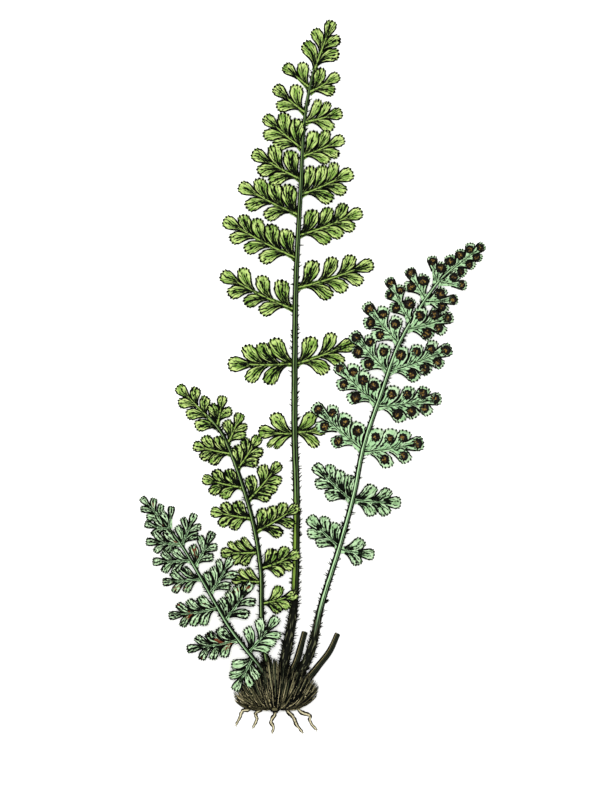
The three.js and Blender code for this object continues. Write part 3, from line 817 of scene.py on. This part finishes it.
def spores(name, dark, brown, gold):
    """The spore cases: near-black at the edge of the heap, golden-brown at its middle."""
    paint = Paint(name, roughness=0.45, gloss=0.1)
    chance, _, _ = paint.uv("chance")
    return paint.finish(paint.ramp(chance, [(0.0, dark), (0.5, dark), (0.62, brown), (1.0, gold)]))


def root_bark(name, stops, speckles):
    """The bark of a root: its own pale cream along its top, darkening through tan to ink at its sides as
    painted shade, with speckles.
    """
    paint = Paint(name, roughness=0.75)
    shifted, _ = paint.ragged_turn(*paint.round_and_along(), *ROOT_RAGGED)
    speckle, speckled = paint.speckles(*ROOT_SPECKLES)
    return paint.finish(paint.mix(speckled, paint.ramp(shifted, stops), speckles), speckle)


def plain(name, colour):
    """One colour, with a shade of ink in it."""
    paint = Paint(name)
    shade = paint.noise(paint.place(), *HAIR_SHADE)
    inked = paint.smooth(shade, *HAIR_SHADE_EDGE)
    return paint.finish(paint.mix(inked, colour, INK), shade, FINE_RELIEF)


# deep is the near-black of the strokes, which is partly painted shade.
UPPER_SIDE = dict(pale=paint_colour(190, 211, 128), deep=paint_colour(4, 8, 3))
LOWER_SIDE = dict(pale=paint_colour(190, 217, 176), deep=paint_colour(4, 7, 3))
UPPER = leaf("upper_side", (110, 146, 60), foot=-0.2, middle=0.1, end=0.75, **UPPER_SIDE)
YOUNG_UPPER = leaf(
    "upper_side_young", (106, 142, 60), foot=-0.4, middle=-0.04, strokes=4.6, end=0.75, **UPPER_SIDE
)
LOWER = leaf("lower_side", (138, 175, 124), foot=-0.35, middle=0.06, strokes=5.0, end=0.8, **LOWER_SIDE)
LOWER_SORI = leaf(
    "lower_side_with_sori", (146, 186, 136), foot=0.45, middle=0.6, strokes=4.0, gaps=0.45, **LOWER_SIDE
)
LOW_LOWER = leaf(
    "lower_side_low", (144, 180, 130), foot=-0.55, middle=-0.3, strokes=4.4, end=0.85, rust=0.9, **LOWER_SIDE
)
UPPER_RIB = rib(
    "upper_rib",
    stripes(
        (0.05, 110, 146, 60), (0.12, 110, 146, 60), (0.16,), (0.36,), (0.42, 134, 162, 80),
        (0.56, 134, 162, 80), (0.62,), (0.84,), (0.88, 110, 146, 60), (0.95, 110, 146, 60),
    ),
    paint_colour(24, 38, 18),
)
LOWER_RIB = rib(
    "lower_rib",
    stripes(
        (0.05, 156, 192, 144), (0.4, 166, 204, 154), (0.44,),
        (0.58,), (0.62, 156, 192, 144), (0.94, 150, 186, 138),
    ),
    paint_colour(84, 112, 76),
)

# The stripes of a stalk, by the turn round it: 0 is at its right, 0.25 on its top and 0.5 at its left. They
# are painted light and shade, as if lit from the left: the pale stripe left of the top is painted light, and
# the darker green right of it and the ink at both sides are painted shade.
STALKS = dict(
    frond_tall=stripes(
        (0.13,), (0.15, 58, 80, 46), (0.19, 68, 92, 54), (0.205,),
        (0.275,), (0.29, 116, 144, 86), (0.335, 92, 118, 66), (0.35,),
    ),
    frond_fertile=stripes(
        (0.165,), (0.175, 116, 150, 106), (0.19, 128, 164, 118), (0.2,),
        (0.24,), (0.255, 170, 206, 156), (0.315, 158, 194, 144), (0.325,),
    ),
    frond_young=stripes(
        (0.18,), (0.19, 36, 52, 29), (0.275, 32, 46, 26),
        (0.288, 138, 166, 102), (0.328, 104, 134, 76), (0.34,),
    ),
    frond_low=stripes(
        (0.165,), (0.175, 42, 60, 38), (0.25, 48, 66, 42),
        (0.265, 150, 186, 138), (0.315, 138, 174, 126), (0.327,),
    ),
)
# Below bright_to on the tall stalk: the same painted light on the left, and painted shade on the right and at
# its sides.
BRIGHT_STALK = stripes(
    (0.14,), (0.16, 40, 54, 30), (0.2, 34, 46, 26), (0.22,),
    (0.26,), (0.28, 116, 144, 58), (0.37, 104, 132, 50), (0.39,),
)
OLD_STALK = stripes(
    (0.14,), (0.155, 46, 52, 36), (0.185, 12, 15, 9), (0.235, 12, 15, 9), (0.255, 58, 64, 46),
    (0.275, 14, 17, 10), (0.3, 14, 17, 10), (0.315, 122, 114, 80), (0.33, 122, 114, 80), (0.345,),
)
OLD_DARK_TO = (-4, 8)
DARK_RAGGED = 12  # how far the edge of a stalk's dark foot goes up and down, at most
SCALY_BROWN = paint_colour(10, 12, 7)
SCALY_PALE = paint_colour(96, 98, 72)
SPORES = spores("spore_cases", paint_colour(8, 6, 3), paint_colour(62, 44, 18), paint_colour(140, 114, 54))
TUFT_STRANDS = strands(
    "tuft",
    dark=paint_colour(5, 6, 4),
    upper=[paint_colour(58, 64, 46), paint_colour(138, 132, 98)],
    lower=[paint_colour(88, 84, 58), paint_colour(206, 194, 150)],
)
BRISTLE = plain("bristles", paint_colour(10, 10, 6))
# The root's stripes: pale cream on its top, then tan and ink towards its sides, which is painted shade.
ROOT_BARK = root_bark(
    "root_bark",
    stripes(
        (0.17,), (0.19, 124, 114, 82), (0.21, 206, 198, 162),
        (0.29, 206, 198, 162), (0.305, 124, 114, 82), (0.32,),
    ),
    paint_colour(70, 58, 34),
)

# The front and the back of each frond's blade.
BLADES = dict(
    frond_tall=(UPPER, LOWER),
    frond_fertile=(LOWER, UPPER),
    frond_young=(YOUNG_UPPER, LOWER),
    frond_low=(LOW_LOWER, UPPER),
)


# Fronds.


class Pinna:
    """Where one pinna lies: its rib's line, its lobes, and the height of its blade. The tip's side is 0."""

    def __init__(self, frond, stem, row, side, tip_height=None):
        self.foot, self.reach, lift, self.upper, self.lower, *larger = row
        self.frond, self.side = frond, side
        self.root = stem.at(stem.share_at(self.foot))
        self.tip_height = tip_height
        turn = side or 1
        angle = math.radians(lift)
        self.along = Vector((turn * math.cos(angle), math.sin(angle), 0))
        self.out = Vector((-self.along.y, self.along.x, 0)) * turn
        self.bow = BOW if side else 0
        self.grown = lerp(SMALLEST, 1, min(self.reach / FULL_REACH, 1))
        self.larger = larger[0] if larger else 1.0
        self.lobe = frond["lobe"] * (self.grown if side else frond.get("tip_lobe", TIP_LOBE)) * self.larger
        self.end_length = min(self.lobe * END_SIZE, self.reach * END_MOST)

    def rib(self, s, off=0.0):
        """A point of the rib's line in plan, or off to the side of it."""
        bowed = off - self.bow * self.reach * 4 * s * (1 - s)
        return self.root.xy.to_3d() + self.along * (s * self.reach) + self.out * bowed

    def raised(self, point, extra=0.0):
        """The point at the height of the blade's middle there, plus extra."""
        away = point - self.root.xy.to_3d()
        s = clamp(away.dot(self.along) / self.reach)
        off = away.dot(self.out) / self.lobe
        if self.tip_height is None:
            rise, fall = self.frond["rise"], self.frond["fall"][0 if self.side < 0 else 1]
            height = self.root.z + self.reach * (rise * s - (rise + fall) * s * s)
        else:
            height = lerp(self.root.z, self.tip_height, s)
        return Vector((point.x, point.y, max(height - SAG * off * off + extra, LOWEST)))

    def lobes(self):
        end = 1 - self.end_length / self.reach
        found = [Lobe(self, end, 0, self.end_length, 0.0, self.lobe)]
        for count, (side, start, first, last) in zip((self.lower, self.upper), LOBE_SIDES):
            step = (1 - start) * end / max(count, 1)
            for i in range(count):
                s = start * end + (i + 0.5) * step
                length = self.lobe * lerp(first, last, s)
                angle = self.grown * lerp(WIDE_ANGLE, NARROW_ANGLE, s)
                angle *= self.larger * (self.frond.get("droop", 1) if side < 0 else 1)
                room = step * self.reach * math.sin(math.radians(angle))
                found.append(Lobe(self, s, side, length, angle, room))
        return found


class Lobe:
    """A lobe's curved middle line: it leaves the rib at a small angle and bends outwards."""

    def __init__(self, pinna, s, side, length, angle, room):
        self.pinna, self.side = pinna, side
        self.width = min(length * LOBE_WIDTH, room * CROWDED) * pinna.frond.get("slim", 1)
        self.first, self.last = (math.radians(angle * share) for share in (START_TURN, END_TURN))
        turned = math.radians(angle)
        self.length = 1.0
        over, out = self.middle(1)
        self.length = length * math.sin(turned) / out if side else length
        if side:
            s += (length * math.cos(turned) - self.length * over) / pinna.reach
        self.foot = pinna.rib(s)

    def middle(self, share):
        """How far along the rib, and out from it, the middle line has come at a share of its length."""
        bend = self.last - self.first
        if not bend:
            return self.length * share, 0.0
        now = self.first + bend * share
        over = (math.sin(now) - math.sin(self.first)) / bend
        out = (math.cos(self.first) - math.cos(now)) / bend
        return self.length * over, self.length * out

    def at(self, x, y):
        """The point at a share x of the middle line, and y of the width to its side."""
        along, out = self.pinna.along, self.pinna.out * (self.side or 1)
        over, away = self.middle(x)
        now = self.first + (self.last - self.first) * x
        sideways = along * math.sin(now) - out * math.cos(now)
        return self.foot + along * over + out * away + sideways * (y * self.width)


# The materials of a blade's front: of most lobes, of the ribs, and of other lobes. Each back comes next.
BLADE_FRONT, RIB_FRONT, OTHER_FRONT = 0, 2, 4


def pinnae_of(frond, stem):
    sides = ((-1, frond["left"]), (1, frond["right"]))
    found = [Pinna(frond, stem, row, side) for side, rows in sides for row in rows]
    tip = frond["tip"]
    row = [tip[key] for key in ("foot", "reach", "lift", "upper", "lower")]
    found.append(Pinna(frond, stem, row, 0, tip["height"]))
    return found


def lobe_outline(across, along, notch, foot):
    """A point of a lobe: x from 0 at its foot to 1 at its end, y from -0.5 to 0.5 across its widest part."""
    v = 2 * across - 1
    turn = math.radians(ROUND_FROM) * v
    x = WIDEST + (1 - WIDEST) * math.copysign(abs(math.cos(turn)) ** BLUNT, math.cos(turn))
    y = 0.5 * math.copysign(abs(math.sin(turn)) ** BLUNT, turn)
    if along > 1 - 0.5 / LOBE_ROWS:
        tooth = TOOTH if round(across * LOBE_COLUMNS) % 2 else 0
        out = tooth - notch * abs(math.cos(NOTCHES * turn))
        x += out * math.cos(turn)
        y += out * math.sin(turn)
    return along * x, lerp(0.5 * foot * v, y, along * along * (2 - along))


def distance(point, line):
    """How far a point is from a line of points."""
    gaps = []
    for a, b in zip(line, line[1:]):
        share = clamp((point - a).dot(b - a) / (b - a).length_squared)
        gaps.append((a.lerp(b, share) - point).length)
    return min(gaps)


@functools.cache
def lobe_margin(column, row, foot):
    """How far a point of a lobe's grid is from its sides and from its round end, as shares of its width."""

    def spot(across, along):
        x, y = lobe_outline(across, along, 0, foot)
        return Vector((x / LOBE_WIDTH, abs(y)))

    here = spot(column / LOBE_COLUMNS, (row / LOBE_ROWS) ** ROWS_CROWD)
    shares = [i / OUTLINE_STEPS for i in range(OUTLINE_STEPS + 1)]
    side = [spot(1, share) for share in shares]
    end = [spot(0.5 + share / 2, 1) for share in shares]
    return distance(here, side), distance(here, end)


def lay_lobe(piece, lobe, material, rng):
    pinna = lobe.pinna
    tilt = SHINGLE * rng.uniform(*SHINGLE_VARIES) * (1 if lobe.side else END_SHINGLE)
    lift = rng.uniform(*LIFT_VARIES) + (0 if lobe.side else END_LIFT)
    stretch, spread = rng.uniform(*LENGTH_VARIES), rng.uniform(*WIDTH_VARIES)

    def place(across, along):
        along = along**ROWS_CROWD
        x, y = lobe_outline(across, along, pinna.frond["notch"], pinna.frond["foot_width"])
        vein = -PLEAT if round(across * LOBE_COLUMNS) % 2 else PLEAT
        pleat = vein * math.sin(math.pi * clamp(along * PLEAT_END))
        cup = CUP * lobe.width * (1 - 4 * y * y) * smooth(0, CUP_FULL, along)
        curl = -CURL * smooth(CURL_FROM, 1.0, along)
        extra = pleat + cup + curl - tilt * y * lobe.width + lift
        return pinna.raised(lobe.at(x * stretch, y * spread), extra)

    def margin(across, along):
        column, row = round(across * LOBE_COLUMNS), round(along * LOBE_ROWS)
        from_side, from_end = lobe_margin(column, row, pinna.frond["foot_width"])
        return from_side * lobe.width, from_end * lobe.width

    over = (place(1, 0.5) - place(0, 0.5)).cross(place(0.5, 1) - place(0.5, 0)).z < 0
    chance = (rng.random(), rng.random())
    piece.lay(LOBE_COLUMNS, LOBE_ROWS, place, chance, material, over, margin)


def lay_rib(piece, pinna, rng):
    """The raised rib of a pinna and its wing, from inside the stalk to some way into the lobe at its end."""
    last = RIB_END - RIB_IN_LOBE * pinna.end_length / pinna.reach
    wing = WING * pinna.frond["lobe"] / TALL["lobe"] * pinna.frond.get("wing", 1)

    def place(across, along):
        v = 2 * across - 1
        s = along * last
        flare = 1 + FLARE * math.exp(-s * pinna.reach / FLARE_LENGTH) if pinna.side else 1
        half = wing * lerp(1, WING_END, along**WING_TAPER) * flare
        ridge = RIB_RAISED * clamp(1 - (v / RIB) ** 2) - WING_SUNK * (abs(v) > RIB)
        return pinna.raised(pinna.rib(s, v * half), ridge)

    over = pinna.along.cross(pinna.out).z < 0
    piece.lay(RIB_COLUMNS, RIB_ROWS, place, (rng.random(), rng.random()), RIB_FRONT, over)


def lay_sorus(piece, lobe, rng):
    """A heap of round spore cases on a lobe."""
    middle = lobe.at(rng.uniform(*SORUS_AT), 0)
    radius = clamp(SORUS_SHARE * lobe.width, *SORUS_RADIUS) * rng.uniform(*SORUS_VARIES)
    bed = Matrix.Translation(lobe.pinna.raised(middle, BED_HEIGHT) * MM)
    piece.ball(2, radius * MM, bed @ Matrix.Diagonal((1, 1, BED_FLAT, 1)))
    for i in range(CASES):
        share = math.sqrt((i + 0.5) / CASES)
        turn = i * CASE_TURN + rng.uniform(*CASE_STRAYS)
        spot = middle + Vector((math.cos(turn), math.sin(turn), 0)) * (share * radius)
        spot = lobe.pinna.raised(spot, CASE_HEIGHT + HEAP * (1 - share * share))
        gold = clamp(GOLD_MIDDLE - GOLD_FALLS * share + rng.uniform(*GOLD_VARIES))
        size = radius * rng.uniform(*CASE_SIZE) * MM
        # No paint reads the second chance. It is drawn so that the later draws stay the same.
        piece.ball(1, size, Matrix.Translation(spot * MM), lambda: (gold, rng.random()))
    piece.settle()


def sweep(piece, stem, grid, shape=None):
    """A tube along a stem. shape(turn, t) gives how much its radius differs there."""

    def ring(turn, t):
        _, right, up = stem.axes(t)
        middle = stem.at(t)
        radius = stem.radius(t) * (shape(turn, t) if shape else 1)
        point = middle + (right * math.cos(turn) + up * math.sin(turn)) * radius
        point.z = max(point.z, ON_FLOOR)
        return middle, point

    piece.tube(*grid, ring)


def make_frond(frond):
    name, slot = frond["node"], frond["slot"]
    rng = random.Random(name)
    stem = Stem(frond["stalk"])
    blade = Piece(name + "_blade")
    heaps = Piece(name + "_sori")
    for pinna in pinnae_of(frond, stem):
        fertile = pinna.foot > frond.get("sori_from", math.inf)
        clear = pinna.foot < frond.get("clear_to", 0)
        for lobe in pinna.lobes():
            lay_lobe(blade, lobe, OTHER_FRONT if fertile or clear else BLADE_FRONT, rng)
            if fertile:
                lay_sorus(heaps, lobe, rng)
        lay_rib(blade, pinna, rng)
        blade.settle()
    ribs = UPPER_RIB if slot == "upper_side" else LOWER_RIB
    other = LOWER if "clear_to" in frond else LOWER_SORI
    made = blade.finish([*BLADES[name], ribs, ribs, other, UPPER], slot, name)
    shell = made.modifiers.new("thickness", "SOLIDIFY")
    shell.thickness = BLADE * MM
    shell.offset = 0
    shell.material_offset = 1
    if "sori_from" in frond:
        heaps.finish([SPORES], slot)

    def channelled(turn, _):
        return STALK_WIDER - CHANNEL * smooth(*CHANNEL_AT, math.sin(turn))

    tube = Piece(name + "_stalk")
    sweep(tube, stem, STALK_GRID, channelled)
    tube.finish([stalk(name + "_stalk", STALKS[name], frond["dark_to"], frond.get("bright_to"))], slot)
    make_bristles(frond, stem, rng)


def make_bristles(frond, stem, rng):
    """Fine dark hairs on both sides of a stalk, thickest near its foot."""
    piece = Piece(frond["node"] + "_bristles")
    spots = [stem.at(i / STEM_STEPS) for i in range(STEM_STEPS + 1)]
    total = sum((b - a).length for a, b in zip(spots, spots[1:]))
    for _ in range(int(total * BRISTLES)):
        t = rng.uniform(*BRISTLES_AT) ** BRISTLES_LOW
        along, right, up = stem.axes(t)
        side = rng.choice((-1, 1))
        turn = rng.uniform(*BRISTLE_TURN)
        out = right * (side * math.cos(turn)) + up * math.sin(turn)
        lean = (out + along * rng.uniform(*BRISTLE_LEAN)).normalized()
        length = rng.uniform(*BRISTLE_LENGTH) * lerp(*BRISTLE_SHORTENS, t)
        start = stem.at(t) + out * (stem.radius(t) * BRISTLE_SUNK)
        middle = start + lean * (length / 2)
        if middle.z < LOWEST:
            continue
        facing = lean.to_track_quat("Z", "X").to_matrix().to_4x4()
        bmesh.ops.create_cone(
            piece.bm,
            cap_ends=True,
            segments=3,
            radius1=rng.uniform(*BRISTLE_FOOT) * MM,
            radius2=BRISTLE_TIP * MM,
            depth=length * MM,
            matrix=Matrix.Translation(middle * MM) @ facing,
        )
        piece.settle()
    piece.finish([BRISTLE], frond["slot"])


# Rhizome, old stalks and roots.


def on_outline(share):
    """A point of the tuft's outline."""
    at = share * (len(TUFT_OUTLINE) - 1)
    i = min(int(at), len(TUFT_OUTLINE) - 2)
    return Vector(TUFT_OUTLINE[i]).lerp(Vector(TUFT_OUTLINE[i + 1]), at - i)


def dome(x, y):
    """How far the tuft's surface is from its middle height there, as a share."""
    over = (x - DOME["middle"][0]) / DOME["half_width"]
    off = y - DOME["middle"][1]
    up = off / (DOME["up"] if off > 0 else DOME["down"])
    return math.sqrt(max(0.0, 1 - over * over - up * up))


def pressed(x, y):
    """How high the tuft may reach there."""
    return PRESSED_TO + FREE * smooth(*FREE_RIGHT, x) + FREE * smooth(*FREE_ABOVE, y)


def lay_strand(piece, start, bend, end, level, width, chance):
    """A strand along a bent line in plan, on the dome or, with a lower level, inside it or under it."""
    thin, full_at = STRAND_FOOT

    def line(t):
        spot = start.lerp(bend, t).lerp(bend.lerp(end, t), t)
        height = DOME["middle"][2] + level * DOME["height"] * dome(*spot) + STRAND_RISE * t
        return Vector((spot.x, spot.y, clamp(height, STRAND_HEIGHT, pressed(*spot))))

    def ring(around, t):
        middle = line(t)
        along = line(t + STRAND_STEP) - line(t - STRAND_STEP)
        right = along.cross(UP).normalized()
        up = right.cross(along).normalized()
        thick = width * (1 - STRAND_TAPER * t**3) * lerp(thin, 1, smooth(0, full_at, t))
        point = middle + (right * math.cos(around) + up * math.sin(around)) * thick
        point.z = max(point.z, STRAND_FLOOR)
        return middle, point

    piece.tube(*STRAND_GRID, ring, chance)
    piece.settle()


def make_rhizome():
    rng = random.Random("rhizome")
    piece = Piece("rhizome_tuft")

    def core(turn, t):
        angle = math.pi * (1 - t)
        middle, (across, deep, high) = Vector(CORE["middle"]), CORE["radii"]
        spot = middle + Vector((0, deep * math.cos(angle), 0))
        round_it = Vector((across * math.cos(turn), 0, high * math.sin(turn)))
        point = spot + round_it * math.sin(angle)
        point.z = clamp(point.z, ON_FLOOR, pressed(point.x, point.y) - CORE_UNDER)
        return spot, point

    piece.tube(*CORE_GRID, core, CORE_CHANCE)
    foot = Vector(TUFT_FOOT)
    for _ in range(STRANDS):
        end = foot + (on_outline(rng.random()) - foot) * math.sqrt(rng.uniform(*STRAND_REACH))
        start = foot + Vector(((end.x - foot.x) * rng.uniform(*STRAND_START), rng.uniform(*START_STRAYS)))
        start.y += START_LIFT * abs(start.x)
        if rng.random() < SHORTER:
            start = start.lerp(end, rng.uniform(0, SHORTER))
        bend = start.lerp(end, 0.5) - Vector((0, STRAND_SAG * abs(end.x) + rng.uniform(*SAG_STRAYS)))
        level = rng.uniform(*rng.choices(TUFT_LEVELS, TUFT_SHARES)[0])
        light = rng.random()
        width = STRAND_WIDTH * rng.uniform(*STRAND_VARIES) * (PALE_WIDTH if light > PALEST else 1)
        lay_strand(piece, start, bend, end, level, width, (light, rng.random()))
    for _ in range(LEAF_BASES):
        end = Vector([rng.uniform(*reach) for reach in BASE_END])
        start = Vector((BASE_FAN * end.x, rng.uniform(*BASE_START)))
        chance = (rng.choice(BASE_CHANCES), rng.random())
        lay_strand(piece, start, start.lerp(end, 0.5), end, 1.0, rng.uniform(*BASE_WIDTH), chance)
    for share, raised, light in KNOB_COATS:
        at = Matrix.Translation((Vector(KNOB["middle"]) + UP * raised) * MM)
        size = Matrix.Diagonal((*(share * radius for radius in KNOB["radii"]), 1))
        piece.ball(3, MM, at @ size, lambda: (light, 0))
    piece.finish([TUFT_STRANDS], "scaly", "rhizome")


def make_old_stalk(number, points):
    name = f"old_stalk_{number}"
    piece = Piece(name + "_bark")

    def grooves(turn, t):
        x, y = LUMPS_ROUND * math.cos(turn), LUMPS_ROUND * math.sin(turn)
        lumps = noise.noise(Vector((x, y, t * LUMPS_ALONG + number)))
        return 1 + GROOVE_DEPTH * math.cos(GROOVES * turn + t) + LUMPS * lumps

    sweep(piece, Stem(points), OLD_STALK_GRID, grooves)
    piece.finish([stalk(name, OLD_STALK, OLD_DARK_TO)], "old_stalk", name)


def make_root(number, points):
    rng = random.Random(f"root {number}")
    stem = Stem(points)
    piece = Piece(f"root_{number}_bark")

    def knobbly(turn, t):
        return ROOT_WIDER + KNOBBLY * noise.noise(Vector((t * KNOBS, math.cos(turn), number * ROOTS_APART)))

    sweep(piece, stem, ROOT_GRID, knobbly)
    end, (along, right, _) = stem.at(1), stem.axes(1)
    for side in (-1, 1):
        tip = end + (along + right * (side * rng.uniform(*FORK_SPREAD))) * rng.uniform(*FORK_LENGTH)
        tip.z = max(tip.z, FORK_HEIGHT)
        line = (end - along * FORK_START, end, tip)
        sweep(piece, Stem([(*point, radius) for point, radius in zip(line, FORK_RADII)]), FORK_GRID)
    piece.finish([ROOT_BARK], "root", f"root_{number}")


# Camera, light and floor.

PHOTO_CENTRE = (10.08, 121.8)  # what the middle of the picture shows
PICTURE_HEIGHT = 336.0  # what the picture's long side covers
LENS = 300.0
SENSOR = 36.0
CLIP_END = 20
AIM = Vector((0.01, 0.12, 0))
LIGHTS = [  # name, place, size and power
    ("overhead", (0.01, 0.12, 2.2), 0.35, 44),
    ("key", (-1.0, 0.6, 1.3), 0.7, 7),
]
WORLD_LIGHT = 0.5
FLOOR = 4000  # half its width
PAPER = paint_colour(250, 250, 248)


def make_camera():
    data = bpy.data.cameras.new("camera")
    data.sensor_width = SENSOR
    data.lens = LENS
    data.clip_end = CLIP_END
    camera = bpy.data.objects.new("camera", data)
    x, y = PHOTO_CENTRE
    camera.location = (x * MM, y * MM, PICTURE_HEIGHT * MM * LENS / SENSOR)
    bpy.context.scene.collection.objects.link(camera)
    bpy.context.scene.camera = camera


def make_light(name, location, size, power):
    data = bpy.data.lights.new(name, "AREA")
    data.size = size
    data.energy = power
    light = bpy.data.objects.new(name, data)
    light.location = location
    light.rotation_euler = (AIM - Vector(location)).to_track_quat("-Z", "Y").to_euler()
    bpy.context.scene.collection.objects.link(light)


def make_world():
    world = bpy.data.worlds.new("studio")
    bpy.context.scene.world = world
    world.use_nodes = True
    background = world.node_tree.nodes["Background"]
    background.inputs["Color"].default_value = (1, 1, 1, 1)
    background.inputs["Strength"].default_value = WORLD_LIGHT


def make_floor():
    def place(across, along):
        return Vector((lerp(-FLOOR, FLOOR, across), lerp(-FLOOR, FLOOR, along), 0))

    floor = Piece("floor")
    floor.lay(1, 1, place)
    mesh = bpy.data.meshes.new("floor")
    floor.bm.to_mesh(mesh)
    floor.bm.free()
    sheet = bpy.data.objects.new("floor", mesh)
    mesh.materials.append(Paint("paper", roughness=0.9).finish(PAPER))
    bpy.context.scene.collection.objects.link(sheet)


make_camera()
for light in LIGHTS:
    make_light(*light)
make_world()
make_floor()
bpy.context.scene.view_settings.view_transform = "Standard"
for table in (TALL, FERTILE, YOUNG, LOW):
    make_frond(table)
make_rhizome()
for number, points in enumerate(OLD_STALKS, 1):
    make_old_stalk(number, points)
for number, points in enumerate(ROOTS, 1):
    make_root(number, points)
